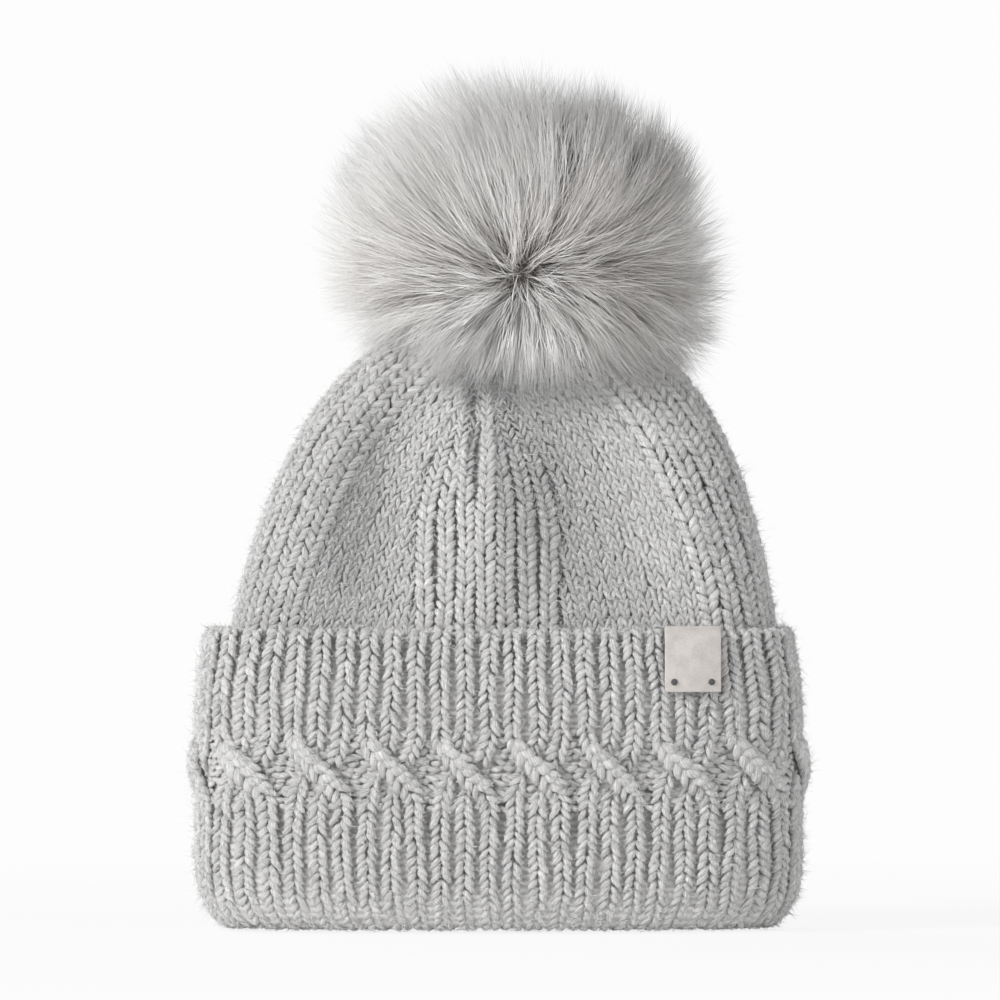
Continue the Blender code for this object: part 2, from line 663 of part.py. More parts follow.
def build_skirt(carrier):
    """Loose lower fur that falls over the crown on every side."""
    start = fur_latitude(FUR_FLOOR - SEAT_GAP)
    rings = [fur_ring(start + (-90.0 - start) * k / FUR_STEPS) for k in range(FUR_STEPS)]
    top = Vector((FUR_CENTRE.x, 0.0, rings[0][0].z))
    bottom = FUR_CENTRE - Vector((0.0, 0.0, FUR_SAG))
    skirt = add_object("pom_fur_skirt", loft(rings, top, bottom), FUR, carrier)
    for cutter in skirt_cutters():
        cut(skirt, cutter)


def build_hat():
    needle_holes = needle_hole_cutter("socket_needle_holes", 0.5, PATCH_BOTTOM - KNIT_WALL, SOCKET_TOP)
    tack_holes = tack_hole_cutter()
    build_cuff(tack_holes)
    build_crown(needle_holes)
    build_gather_yarn()
    build_seams()
    build_label(tack_holes)
    build_tacks()
    build_patch(needle_holes)
    build_socket(needle_holes)
    low = PATCH_BOTTOM - STITCH_STAND
    build_stitches("socket_stitch", 0.5, low, SOCKET_BOTTOM + SNAP_FLANGE + STITCH_STAND)


def build_pom():
    swivel = add_empty("swivel_axis", (APEX_SHIFT, 0.0, SOCKET_BOTTOM))
    pull = add_empty("pull_off_axis", (APEX_SHIFT, 0.0, STUD_BOTTOM))
    flop = add_empty("flop_axis", (APEX_SHIFT, 0.0, STUD_TOP))
    needle_holes = needle_hole_cutter("stud_needle_holes", 0.0, SOCKET_BOTTOM, DISC_TOP + KNIT_WALL)
    build_spring(swivel)
    build_stud(needle_holes, pull)
    build_stitches("stud_stitch", 0.0, STUD_BOTTOM - STITCH_STAND, DISC_TOP + STITCH_STAND, pull)
    build_disc(needle_holes, flop)
    build_pelt(flop)
    build_gather_thread(flop)
    build_stuffing(flop)
    build_fur(flop)
    build_skirt(flop)


clear_scene()
build_hat()
build_pom()
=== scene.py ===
import math

import bpy
import numpy as np
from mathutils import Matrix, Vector


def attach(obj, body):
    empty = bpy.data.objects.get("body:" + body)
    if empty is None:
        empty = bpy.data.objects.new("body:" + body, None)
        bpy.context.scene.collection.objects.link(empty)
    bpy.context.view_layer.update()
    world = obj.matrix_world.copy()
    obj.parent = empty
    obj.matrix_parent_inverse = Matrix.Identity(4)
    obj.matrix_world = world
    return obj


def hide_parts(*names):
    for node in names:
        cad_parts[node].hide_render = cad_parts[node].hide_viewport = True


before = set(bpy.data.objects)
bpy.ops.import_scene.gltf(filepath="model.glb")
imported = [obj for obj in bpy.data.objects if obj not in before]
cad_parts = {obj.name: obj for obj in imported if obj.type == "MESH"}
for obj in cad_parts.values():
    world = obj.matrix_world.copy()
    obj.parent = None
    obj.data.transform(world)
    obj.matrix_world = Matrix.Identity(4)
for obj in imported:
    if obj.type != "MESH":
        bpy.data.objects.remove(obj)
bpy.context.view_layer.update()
bpy.ops.object.select_all(action="DESELECT")
chance = np.random.default_rng(11)


# nodes and finishes, in short words
def node(tree, kind, feeds=(), **values):
    # feeds go to the inputs in order, values to a setting or an input by name, and a socket is wired in
    made = tree.nodes.new("ShaderNode" + kind)
    given = [(made.inputs[k], feed) for k, feed in enumerate(feeds)]
    for key, value in values.items():
        if hasattr(made, key):
            setattr(made, key, value)
        else:
            given.append((made.inputs[key.replace("_", " ")], value))
    for socket, value in given:
        if isinstance(value, bpy.types.NodeSocket):
            tree.links.new(value, socket)
        else:
            socket.default_value = value
    return made


def newLook(name, rough, **plain):
    look = bpy.data.materials.new(name)
    look.use_nodes = True
    shader = look.node_tree.nodes["Principled BSDF"]
    shader.inputs["Roughness"].default_value = rough
    for socket, value in plain.items():
        shader.inputs[socket.replace("_", " ")].default_value = value
    return look, look.node_tree, shader


def makeGroup(name, inputs, output):
    group = bpy.data.node_groups.new(name, "ShaderNodeTree")
    for key in ("Vector",) + inputs:
        kind = "NodeSocketVector" if key == "Vector" else "NodeSocketFloat"
        group.interface.new_socket(key, in_out="INPUT", socket_type=kind)
    group.interface.new_socket(output, in_out="OUTPUT", socket_type="NodeSocketFloat")
    start, end = group.nodes.new("NodeGroupInput"), group.nodes.new("NodeGroupOutput")
    return group, start.outputs, end.inputs[output]


def makePattern(name, kind, result, inputs, **fixed):
    group, start, end = makeGroup(name, inputs, "Pattern")
    texture = node(group, kind, **{key: start[key] for key in ("Vector",) + inputs}, **fixed)
    group.links.new(texture.outputs[result], end)
    return group


def pattern(tree, group, **values):
    # a pattern in the object's own space, with this look's values
    place = node(tree, "TexCoord").outputs["Object"]
    return node(tree, "Group", node_tree=group, Vector=place, **values).outputs["Pattern"]


def ramp(tree, source, stops):
    made = node(tree, "ValToRGB", Fac=source)
    band = made.color_ramp
    while len(band.elements) < len(stops):
        band.elements.new(0.5)
    for element, (place, colour) in zip(band.elements, stops):
        element.position = place
        element.color = (*colour, 1.0)
    return made.outputs["Color"]


def multiply(tree, first, second):
    mix = node(tree, "Mix", data_type="RGBA", blend_type="MULTIPLY", Factor=1.0, A=first, B=second)
    return mix.outputs["Result"]


def paint(tree, shader, colour):
    tree.links.new(colour, shader.inputs["Base Color"])


def roughen(tree, shader, height, strength, distance):
    bump = node(tree, "Bump", Strength=strength, Distance=distance, Height=height)
    tree.links.new(bump.outputs["Normal"], shader.inputs["Normal"])


def makeGrained(name, rough, group, values, shades, strength, distance, **plain):
    # one pattern gives both the shade and the relief
    look, tree, shader = newLook(name, rough, **plain)
    height = pattern(tree, group, **values)
    paint(tree, shader, ramp(tree, height, shades))
    roughen(tree, shader, height, strength, distance)
    return look


def grey(level, warmth=0.0):
    return (level * (1.0 + warmth), level, level * (1.0 - warmth))


waveInputs = ("Scale", "Distortion", "Detail")
fineGrain = makePattern("fineGrain", "TexNoise", "Fac", ("Scale", "Detail", "Roughness"))
knitBars = makePattern("knitBars", "TexWave", "Fac", waveInputs, bands_direction="Z", Detail_Scale=2.0)
threadPly = makePattern("threadPly", "TexWave", "Fac", waveInputs, bands_direction="DIAGONAL")
peltPits = makePattern("peltPits", "TexVoronoi", "Distance", ("Scale",))


# camera, light and floor
view = {"field": 0.360, "distance": 4.0, "x": 0.0005, "z": 0.1544, "sensor": 36.0}
light = {
    "key": {"at": (-3.4, -2.6, 1.8), "size": 1.6, "watts": 180.0},
    "fill": {"at": (2.1, -1.7, 0.5), "size": 1.4, "watts": 28.0},
    "back": {"at": (-1.4, 2.0, 1.2), "size": 1.6, "watts": 26.0},
    "aim": Vector((0.0, 0.0, 0.15)), "air": 0.29, "airColour": (0.98, 0.99, 1.0, 1.0),
}
floor = {
    "size": 9.0, "drop": 0.0002, "colour": (0.9, 0.9, 0.9, 1.0), "white": (0.983, 0.983, 0.983, 1.0),
    "near": 0.15, "far": 0.9, "nearWhite": 0.90,  # close to the hat the rest is real floor, with its shadow
}


def addCamera():
    place = (view["x"], -view["distance"], view["z"])
    bpy.ops.object.camera_add(location=place, rotation=(math.radians(90), 0.0, 0.0))
    camera = bpy.context.object
    camera.data.sensor_width = view["sensor"]
    camera.data.lens = view["sensor"] * view["distance"] / view["field"]
    bpy.context.scene.camera = camera
    bpy.context.scene.view_settings.view_transform = "Standard"


def addLamp(name, at, size, watts):
    bpy.ops.object.light_add(type="AREA", location=at)
    lamp = bpy.context.object
    lamp.name = name
    lamp.data.size = size
    lamp.data.energy = watts
    lamp.rotation_euler = (light["aim"] - Vector(at)).to_track_quat("-Z", "Y").to_euler()


def paleSight(tree):
    # 1 where the camera, a mirror or glass looks straight at the surface
    path = node(tree, "LightPath").outputs
    first = node(tree, "Math", (path["Is Camera Ray"], path["Is Glossy Ray"]), operation="MAXIMUM")
    both = node(tree, "Math", (first.outputs[0], path["Is Transmission Ray"]), operation="MAXIMUM")
    return both.outputs[0]


def showWhite(tree, share, under, white, end):
    mix = node(tree, "MixShader", (share, under.outputs[0], white.outputs[0]))
    tree.links.new(mix.outputs[0], tree.nodes[end].inputs["Surface"])


def makeAir():
    air = bpy.data.worlds.new("studioAir")
    air.use_nodes = True
    bpy.context.scene.world = air
    tree = air.node_tree
    soft = tree.nodes["Background"]
    soft.inputs["Color"].default_value = light["airColour"]
    soft.inputs["Strength"].default_value = light["air"]
    white = node(tree, "Background", Color=floor["white"])
    showWhite(tree, paleSight(tree), soft, white, "World Output")


def makeFloor():
    bpy.ops.mesh.primitive_plane_add(size=floor["size"], location=(0.0, 0.0, -floor["drop"]))
    plane = bpy.context.object
    plane.name = "studioFloor"
    look, tree, matt = newLook("paleFloor", 0.9, Base_Color=floor["colour"], Specular_IOR_Level=0.0)
    white = node(tree, "Emission", Color=floor["white"])
    spot = node(tree, "TexCoord")
    away = node(tree, "VectorMath", (spot.outputs["Object"],), operation="LENGTH")
    fade = node(
        tree, "MapRange", interpolation_type="SMOOTHSTEP", Value=away.outputs["Value"],
        From_Min=floor["near"], From_Max=floor["far"], To_Min=floor["nearWhite"],
    )
    share = node(tree, "Math", (paleSight(tree), fade.outputs["Result"]), operation="MULTIPLY")
    showWhite(tree, share.outputs[0], matt, white, "Material Output")
    plane.data.materials.append(look)


addCamera()
for lampName in ("key", "fill", "back"):
    addLamp(lampName + "Lamp", **light[lampName])
makeAir()
makeFloor()
print("camera, light and floor")


# wool
yarnMap = "yarn"
furMap = "OFBake"
wool = {
    "dark": grey(0.52, 0.012), "pale": grey(0.99, 0.01), "streaks": 13.0, "twist": 0.5, "fluff": 2400.0,
    # the backing's colours, painted darker than the stitches' as the shade in the gaps between them
    "shadedBackDark": grey(0.46, 0.012), "shadedBackPale": grey(0.74, 0.012), "backRows": 130.0,
}


def makeFibreGroup():
    # streaks of fibre that run along a yarn and wind slowly round it
    group, start, end = makeGroup("yarnFibre", ("Streaks", "Twist"), "Fibre")
    spot = node(group, "SeparateXYZ", (start["Vector"],)).outputs
    wind = node(group, "Math", (spot["Y"], start["Twist"], spot["X"]), operation="MULTIPLY_ADD")
    across = node(group, "Math", (wind.outputs[0], start["Streaks"]), operation="MULTIPLY")
    join = node(group, "CombineXYZ", (across.outputs[0], spot["Y"]))
    fine = node(group, "TexNoise", Vector=join.outputs[0], Scale=1.7, Detail=3.0, Roughness=0.6)
    group.links.new(fine.outputs["Fac"], end)
    return group


def makeWool():
    look, tree, shader = newLook(
        "paleWool", 0.95, Specular_IOR_Level=0.1, Sheen_Weight=0.35, Sheen_Roughness=0.5,
        Subsurface_Weight=0.25, Subsurface_Radius=(1.0, 1.0, 1.0), Subsurface_Scale=0.0008,
    )
    place = node(tree, "UVMap", uv_map=yarnMap).outputs["UV"]
    strand = {"Streaks": wool["streaks"], "Twist": wool["twist"]}
    fibre = node(tree, "Group", node_tree=makeFibreGroup(), Vector=place, **strand).outputs["Fibre"]
    streaks = ramp(tree, fibre, ((0.36, wool["dark"]), (0.64, wool["pale"])))
    # each stitch's random tone, times its painted shade
    tone = node(tree, "Attribute", attribute_name="tone")
    fluff = pattern(tree, fineGrain, Scale=wool["fluff"], Detail=3.0, Roughness=0.65)
    haze = ramp(tree, fluff, ((0.32, grey(0.80)), (0.66, grey(1.0))))
    paint(tree, shader, multiply(tree, multiply(tree, streaks, tone.outputs["Color"]), haze))
    rise = node(tree, "Math", (fluff, fibre), operation="ADD")
    roughen(tree, shader, rise.outputs[0], 0.8, 0.0007)
    return look


def makeBacking():
    # close knit seen from its wrong side, in rows of small bars, painted darker than the stitches as the
    # shade in the gaps between them
    look, tree, shader = newLook("shadedWoolBacking", 0.95, Specular_IOR_Level=0.1, Sheen_Weight=0.25)
    rows = pattern(tree, knitBars, Scale=wool["backRows"], Distortion=3.0, Detail=2.0)
    fuzz = pattern(tree, fineGrain, Scale=900.0, Detail=4.0, Roughness=0.7)
    both = node(tree, "Math", (rows, 0.5, fuzz), operation="MULTIPLY_ADD").outputs[0]
    paint(tree, shader, ramp(tree, both, ((0.35, wool["shadedBackDark"]), (1.0, wool["shadedBackPale"]))))
    roughen(tree, shader, both, 0.6, 0.001)
    return look


woolLook = makeWool()
backingLook = makeBacking()


# mesh from arrays, for pieces that hold thousands of stitches or hairs
def makePiece(name, shape, look, body, nodes, mapName=yarnMap, tone=None):
    points, quads, tris, uv = shape
    corners = np.concatenate([quads.ravel(), tris.ravel()]).astype(np.int32)
    starts = np.concatenate([np.arange(len(quads)) * 4, 4 * len(quads) + np.arange(len(tris)) * 3])
    mesh = bpy.data.meshes.new(name)
    mesh.vertices.add(len(points))
    mesh.vertices.foreach_set("co", points.astype(np.float32).ravel())
    mesh.loops.add(len(corners))
    mesh.loops.foreach_set("vertex_index", corners)
    mesh.polygons.add(len(starts))
    mesh.polygons.foreach_set("loop_start", starts.astype(np.int32))
    mesh.update(calc_edges=True)
    mesh.shade_smooth()
    if uv is not None:
        layer = mesh.uv_layers.new(name=mapName)
        layer.data.foreach_set("uv", uv.astype(np.float32).ravel())
    # a stitch's random tone, times its painted shade
    if tone is not None:
        shade = mesh.attributes.new("tone", "FLOAT_COLOR", "POINT")
        shade.data.foreach_set("color", np.repeat(tone, 4).astype(np.float32))
    mesh.materials.append(look)
    piece = bpy.data.objects.new(name, mesh)
    bpy.context.collection.objects.link(piece)
    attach(piece, body)
    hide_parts(*nodes)
    print(" ", name, 2 * len(quads) + len(tris), "triangles")
    return piece


def ease(x, low, high):
    t = np.clip((x - low) / (high - low), 0.0, 1.0)
    return t * t * (3.0 - 2.0 * t)


def unit(v):
    return v / np.maximum(np.linalg.norm(v, axis=-1, keepdims=True), 1e-12)


def bent(v, power):
    return np.sign(v) * np.abs(v) ** power


def squaredOval(t, halfWidth, halfDepth, power):
    return halfWidth * bent(np.cos(t), 2.0 / power), halfDepth * bent(np.sin(t), 2.0 / power)


def runLength(x, y):
    # how far along a line each of its points is
    return np.concatenate([[0.0], np.cumsum(np.hypot(np.diff(x), np.diff(y)))])


def evenLine(x, y, count):
    # a line in even steps: how far along, the points there and the way that its right side faces
    along = runLength(x, y)
    even = np.linspace(0.0, along[-1], count)
    x, y = np.interp(even, along, x), np.interp(even, along, y)
    across, rise = np.gradient(x), np.gradient(y)
    size = np.hypot(across, rise)
    return even, x, y, rise / size, -across / size


# a hair as a three-sided strand that runs out to a point; its map holds tone across and place along
hair = {"along": (0.0, 0.5, 0.8, 1.0), "wide": (1.0, 1.0, 0.72, 0.2), "toneSpan": 0.012}


def hairMesh(path, tone, thick):
    total, count = path.shape[:2]
    along = unit(np.gradient(path, axis=1))
    side = unit(np.cross(along, np.array([0.31, 0.52, 0.79])))
    other = np.cross(along, side)
    t = np.linspace(0.0, 1.0, count)
    wide = thick[:, None] * np.interp(t, hair["along"], hair["wide"])[None]
    corners = []
    for k in range(3):
        a = 2.0 * math.pi * k / 3.0
        corners.append(path + wide[..., None] * (math.cos(a) * side + math.sin(a) * other))
    rings = np.stack(corners, axis=2)[:, :-1]  # hairs, points, corners
    body = rings.reshape(total, -1, 3)
    points = np.concatenate([body, path[:, -1:]], axis=1)
    per = 3 * (count - 1) + 1
    quads, tris, quadUv, triUv = [], [], [], []
    for i in range(count - 2):
        for k in range(3):
            n = (k + 1) % 3
            left, right = k / 3, (k + 1) / 3
            quads.append([3 * i + k, 3 * i + n, 3 * i + 3 + n, 3 * i + 3 + k])
            quadUv.append([(left, t[i]), (right, t[i]), (right, t[i + 1]), (left, t[i + 1])])
    last = 3 * (count - 2)
    for k in range(3):
        n = (k + 1) % 3
        tris.append([last + k, last + n, per - 1])
        triUv.append([(k / 3, t[-2]), ((k + 1) / 3, t[-2]), ((k + 0.5) / 3, t[-1])])
    tris.append([2, 1, 0])
    triUv.append([(0.0, 0.0), (0.5, 0.0), (1.0, 0.01)])
    step = (np.arange(total) * per)[:, None, None]
    quads = (np.array(quads, int).reshape(-1, 4)[None] + step).reshape(-1, 4)
    tris = (np.array(tris)[None] + step).reshape(-1, 3)
    uvs = []
    for base in (np.array(quadUv).reshape(-1, 4, 2), np.array(triUv)):
        spot = np.repeat(base[None], total, axis=0)
        spot[..., 0] = tone[:, None, None] + hair["toneSpan"] * spot[..., 0]
        uvs.append(spot.reshape(-1, 2))
    return points.reshape(-1, 3), quads, tris, np.concatenate(uvs)


# one leg of a stitch, modelled once as a plump grain and copied along the wales
def readLeg(sides, rings):
    bpy.ops.mesh.primitive_uv_sphere_add(segments=sides, ring_count=rings, radius=1.0)
    grain = bpy.context.object
    mesh = grain.data
    points = np.array([v.co[:] for v in mesh.vertices])
    slim = (1.02 - points[:, 2] ** 2) ** 0.22  # ends drawn to a point
    points[:, :2] *= slim[:, None]
    uvs = mesh.uv_layers.active.data
    # painted shade: a leg is darker on its sunk sides and towards its ends, where neighbouring legs would
    # shade it, and lightest on top
    proud = ease(points[:, 1], -0.7, 0.7) * (1.0 - 0.3 * points[:, 2] ** 4)
    shape = {"points": points, "shade": 0.87 + 0.14 * proud, 4: [], 3: [], "uv4": [], "uv3": []}
    for face in sorted(mesh.polygons, key=lambda face: sorted(face.vertices)):  # one order in each run
        count = len(face.vertices)
        shape[count].append(list(face.vertices))
        shape[f"uv{count}"].append([uvs[i].uv[:] for i in face.loop_indices])
    bpy.data.objects.remove(grain, do_unlink=True)
    return {key: np.array(value) for key, value in shape.items()}


legShape = readLeg(6, 5)
barShape = readLeg(6, 4)


def bendLegs(legs, shape):
    # across, along and out for every point of every leg
    side, top, s = shape["points"].T
    each = {key: value[:, None] for key, value in legs.items()}
    thin = 1.0 - each["taper"] * s
    along = each["long"] * s
    across = each["wide"] * side * thin + each["tilt"] * along + each["bow"] * s * s
    out = each["thick"] * top * thin + each["arch"] * (0.4 - s * s) + each["nod"] * s
    return across, along, out


def legMesh(points, shape):
    count, each = points.shape[:2]
    step = (np.arange(count) * each)[:, None, None]
    quads = (shape[4][None] + step).reshape(-1, 4)
    tris = (shape[3][None] + step).reshape(-1, 3)
    shift = chance.uniform(0.0, 40.0, (count, 1, 1, 2))
    uv = [(shape[key][None] + shift).reshape(-1, 2) for key in ("uv4", "uv3")]
    return points.reshape(-1, 3), quads, tris, np.concatenate(uv)


def pickLegs(legs, shown):
    return {key: np.broadcast_to(value, shown.shape)[shown] for key, value in legs.items()}


def gather(parts):
    # a plain number in a part holds for all of its legs
    return {key: np.concatenate([np.broadcast_to(p[key], p["h"].shape) for p in parts]) for key in parts[0]}


# how far the knitting strays from even
uneven = {
    "across": 0.00026, "along": 0.0003, "out": 0.00015, "wide": 0.08, "long": 0.04, "tilt": 0.13,
    "tone": 0.04, "crownAcross": 0.00018, "crownAlong": 0.08,
}


# the turned-up cuff
cuff = {
    "halfWidth": 0.110, "halfDepth": 0.048, "power": 3.0, "height": 0.108, "wall": 0.006,
    "cells": 20, "frontCells": 8, "cellWide": 0.0266, "cellShift": 0.0009,
    "footRound": 0.0069, "footUp": 0.016, "rimRound": 0.004, "rimUp": 0.018, "sink": 0.0023,
    "tuck": 0.009, "tuckUp": 0.028, "rimTuck": 0.0022,
    "under": 0.0122, "rimFace": 0.003, "inside": 0.014, "rimTuckFrom": 0.080, "rimSink": 0.0006,
    "ground": 0.0002, "rimThin": (0.098, 0.112),
    "row": 0.0028, "crossAt": 0.0585, "crossReach": 0.0135, "ribHigh": 0.00887, "ribLow": 0.0086,
    "lift": 0.0021, "press": 0.0008, "fan": 0.05, "wander": 0.00035, "waves": 170.0,
}
tag = {
    "x": 0.0692, "wide": 0.020, "drop": 0.022, "thick": 0.0012, "gap": 0.0003, "steps": 80, "curl": 0.0003,
    "bevel": 0.00028, "dark": (0.48, 0.445, 0.418), "pale": (0.72, 0.678, 0.642),
    "pressWide": (0.014, 0.0095), "pressUp": (0.081, 0.086),
}


def makeCuffRing():
    a, b, n = cuff["halfWidth"], cuff["halfDepth"], cuff["power"]
    t = np.linspace(0.0, 4.0 * math.pi, 16001)
    s = runLength(*squaredOval(t, a, b, n))
    count, front = cuff["cells"], cuff["frontCells"]
    half = count // 2
    cells = np.linspace(0.0, count, 100 * count + 1)

    def fromRight(x):
        return np.arccos(bent(x / a, n / 2.0))

    def roundEnd(start, low, high):
        return low + (cells - start) / (half - front) * (high - low)

    xs = cuff["cellShift"] + (np.clip(cells, 0, front) - front / 2) * cuff["cellWide"]
    xsBack = (front / 2 - np.clip(cells - half, 0, front)) * cuff["cellWide"]
    sFront = np.interp(2.0 * math.pi - fromRight(xs), t, s)
    sBack = np.interp(2.0 * math.pi + fromRight(xsBack), t, s)
    first = roundEnd(front, sFront[-1], sBack[0])
    last = roundEnd(half + front, sBack[-1], sFront[0] + s[-1] / 2.0)
    spans = [cells <= front, cells < half, cells <= half + front]
    along = np.select(spans, [sFront, first, sBack], last)
    stretch = np.diff(along)
    kernel = np.exp(-0.5 * (np.arange(-90, 91) / 30.0) ** 2)  # cells change width smoothly round the ends
    kernel /= kernel.sum()
    stretch = np.convolve(np.tile(stretch, 3), kernel, "same")[len(stretch):2 * len(stretch)]
    smoothAlong = along[0] + np.concatenate([[0.0], np.cumsum(stretch)])
    middle = 50 * front
    smoothAlong += along[middle] - smoothAlong[middle]
    return cells, np.interp(smoothAlong, s, t)


cuffCells, cuffAngles = makeCuffRing()


def cuffAngle(cell):
    turns = np.floor(cell / cuff["cells"])
    return np.interp(cell - turns * cuff["cells"], cuffCells, cuffAngles) + turns * 2.0 * math.pi


def makeCuffSection():
    # out and up along the knit, from under the foot, over the rim and down inside
    foot = np.linspace(-0.5 * math.pi, 0.0, 40)
    rim = np.linspace(0.0, 0.5 * math.pi, 40)
    r, up, top, wall = cuff["footRound"], cuff["footUp"], cuff["height"], cuff["wall"]
    out = [np.linspace(-cuff["under"], -r, 12)[:-1], -r + r * np.cos(foot), [0.0]]
    high = [np.zeros(11), up + up * np.sin(foot), [top - cuff["rimUp"]]]
    r, up = cuff["rimRound"], cuff["rimUp"]
    out += [-r + r * np.cos(rim[1:]), [0.0007 - wall, 0.0001 - wall, -wall], np.full(12, -wall)]
    high += [top - up + up * np.sin(rim[1:]), [top - 0.0002, top - 0.0008, top - 0.0016]]
    high += [np.linspace(top - cuff["rimFace"], top - cuff["inside"], 12)]
    even, out, high, *facing = evenLine(np.concatenate(out), np.concatenate(high), 500)
    soft = np.ones(15) / 15.0
    facing = [np.convolve(np.pad(way, len(soft) // 2, "edge"), soft, "valid") for way in facing]
    normOut, normUp = np.array(facing) / np.hypot(*facing)
    base = np.interp(0.05, high[:350], even[:350])
    v = even - base + 0.05
    thin = ease(v, *cuff["rimThin"])  # the rim is thinner than the rest
    sink = cuff["sink"] - (cuff["sink"] - cuff["rimSink"]) * thin
    return v, out - sink * normOut, high - sink * normUp, normOut, normUp


cuffV, cuffOut, cuffUp, cuffNormOut, cuffNormUp = makeCuffSection()


def endTuck(up):
    # the two ends of the flat tube draw in towards the foot and a little at the rim
    foot = np.clip(1.0 - up / cuff["tuckUp"], 0.0, 1.0)
    rim = ease(up, cuff["rimTuckFrom"], cuff["height"])
    return cuff["tuck"] * (1.0 - np.sqrt(1.0 - foot**2)) + cuff["rimTuck"] * rim


def cuffSurface(x, v, h):
    # x in metres round the cuff, v up the knit, h out of it
    t = cuffAngle(x / cuff["cellWide"])
    out, up = np.interp(v, cuffV, cuffOut), np.interp(v, cuffV, cuffUp)
    normOut, normUp = np.interp(v, cuffV, cuffNormOut), np.interp(v, cuffV, cuffNormUp)
    a, b, n = cuff["halfWidth"] + out - endTuck(up), cuff["halfDepth"] + out, cuff["power"]
    px, py = squaredOval(t, a, b, n)
    nx, ny = bent(np.cos(t), 2.0 - 2.0 / n) / a, bent(np.sin(t), 2.0 - 2.0 / n) / b
    size = np.hypot(nx, ny)
    nx, ny = nx / size, ny / size
    nearTag = ease(np.abs(px - tag["x"]), *tag["pressWide"]) * ease(up, *tag["pressUp"]) * (py < 0.0)
    h = h - cuff["press"] * nearTag
    up = np.maximum(up + h * normUp, cuff["ground"])
    return np.stack([px + h * normOut * nx, py + h * normOut * ny, up], axis=-1)


def crossShare(v):
    return ease(v, cuff["crossAt"] + cuff["crossReach"], cuff["crossAt"] - cuff["crossReach"])


def cuffPath(strand, v):
    # where a wale's middle lies in its cell, and how far through the crossing it is
    share = crossShare(v)
    high = (strand - 1) * cuff["ribHigh"]
    low = ((strand + 2) % 3 - 1) * cuff["ribLow"]
    fan = 1.0 + cuff["fan"] * ease(v, cuff["crossAt"] - 0.012, 0.012)
    return high + (low * fan - high) * share, share


ribLeg = {
    "wide": 0.0015, "thick": 0.0015, "long": 0.0027, "tilt": 0.50, "off": 0.0016, "arch": 0.0009,
    "taper": 0.1, "bow": 0.0002, "nod": -0.0004, "footThin": 0.65, "footUp": (0.004, 0.02),
}
# the first strand crosses in front, with a third chain, and the others are hidden for part of their way
cross = {
    "broad": 0.7, "wide": 1.4, "thick": 1.45, "hidden": {1: (0.18, 0.58), 2: (0.46, 0.86)}, "narrow": 0.62,
    "dip": -0.0012, "chain": (0.12, 0.9), "chainUp": 0.0006, "chainTilt": -0.3, "chainWide": 0.0023,
}


def crossShape(strand, share):
    # which rows show, how far they lift and how broad they are
    bridge = np.sin(math.pi * share)
    if strand == 0:
        return np.ones(len(share), bool), cuff["lift"] * bridge, 1.0 + cross["broad"] * bridge
    low, high = cross["hidden"][strand]
    shown = (share < low) | (share > high)
    near = np.minimum(np.abs(share - low), np.abs(share - high))
    inside = (share > 0.004) & (share < 0.996)
    broad = np.where(inside, cross["narrow"] + (1.0 - cross["narrow"]) * ease(near, 0.0, 0.16), 1.0)
    lift = np.where(inside, cross["dip"] * (1.0 - ease(near, 0.0, 0.2)), 0.0)
    return shown, lift, broad


def crossChain(legs, x, lift, share):
    # a third chain fills the middle of the strand that crosses in front
    low, high = cross["chain"]
    mid = (share > low) & (share < high)
    chain = pickLegs(legs, mid)
    chain["x"] = x[mid]
    chain["v"] = chain["v"] + 0.5 * cuff["row"]
    chain["h"] = lift[mid] + cross["chainUp"]
    chain["tilt"], chain["wide"] = cross["chainTilt"], cross["chainWide"]
    return chain


def cuffWales():
    rows = np.arange(cuffV[0] + 0.003, cuffV[-1] - 0.002, cuff["row"])
    parts = []
    for cell, strand in np.ndindex(cuff["cells"], 3):
        v = rows + chance.uniform(-0.3, 0.3) * cuff["row"]
        x, share = cuffPath(strand, v)
        x = x + cuff["wander"] * np.sin(cuff["waves"] * v + chance.uniform(0.0, 6.28))
        x = (cell + 0.5) * cuff["cellWide"] + x
        slope = (cuffPath(strand, v + 0.0005)[0] - cuffPath(strand, v - 0.0005)[0]) / 0.001
        stretch = np.sqrt(1.0 + slope**2)
        shown, lift, broad = crossShape(strand, share)
        wide = ribLeg["wide"] * np.minimum(broad, cross["wide"])
        thick = ribLeg["thick"] * np.clip(broad, 1.0, cross["thick"])
        thick = thick * (ribLeg["footThin"] + (1.0 - ribLeg["footThin"]) * ease(v, *ribLeg["footUp"]))
        for side in (-1.0, 1.0):
            wobble = chance.normal(0.0, 1.0, (4, len(v)))
            one = {
                "slope": slope, "thick": thick, "bow": side * ribLeg["bow"], "arch": ribLeg["arch"],
                "nod": ribLeg["nod"], "taper": ribLeg["taper"],
                "x": x + side * ribLeg["off"] * broad + uneven["across"] * wobble[0],
                "v": v + uneven["along"] * wobble[1],
                "h": lift + uneven["out"] * wobble[2],
                "wide": wide * (1.0 + uneven["wide"] * wobble[3]),
                "long": ribLeg["long"] * stretch * (1.0 + uneven["long"] * wobble[1]),
                "tilt": -side * ribLeg["tilt"] * (1.0 + uneven["tilt"] * wobble[2]),
            }
            parts.append(pickLegs(one, shown))
        if strand == 0:
            parts.append(crossChain(parts[-1], x, lift, share))
    return gather(parts)


purl = {
    "wide": 0.0030, "thick": 0.0007, "tall": 0.0014, "deep": -0.0007, "row": 0.0022, "slide": 0.006,
    "columns": (0.0035, 0.0075, 0.0115, 0.0155, 0.0195), "stagger": 0.002, "bow": -0.0007, "arch": 0.0005,
}


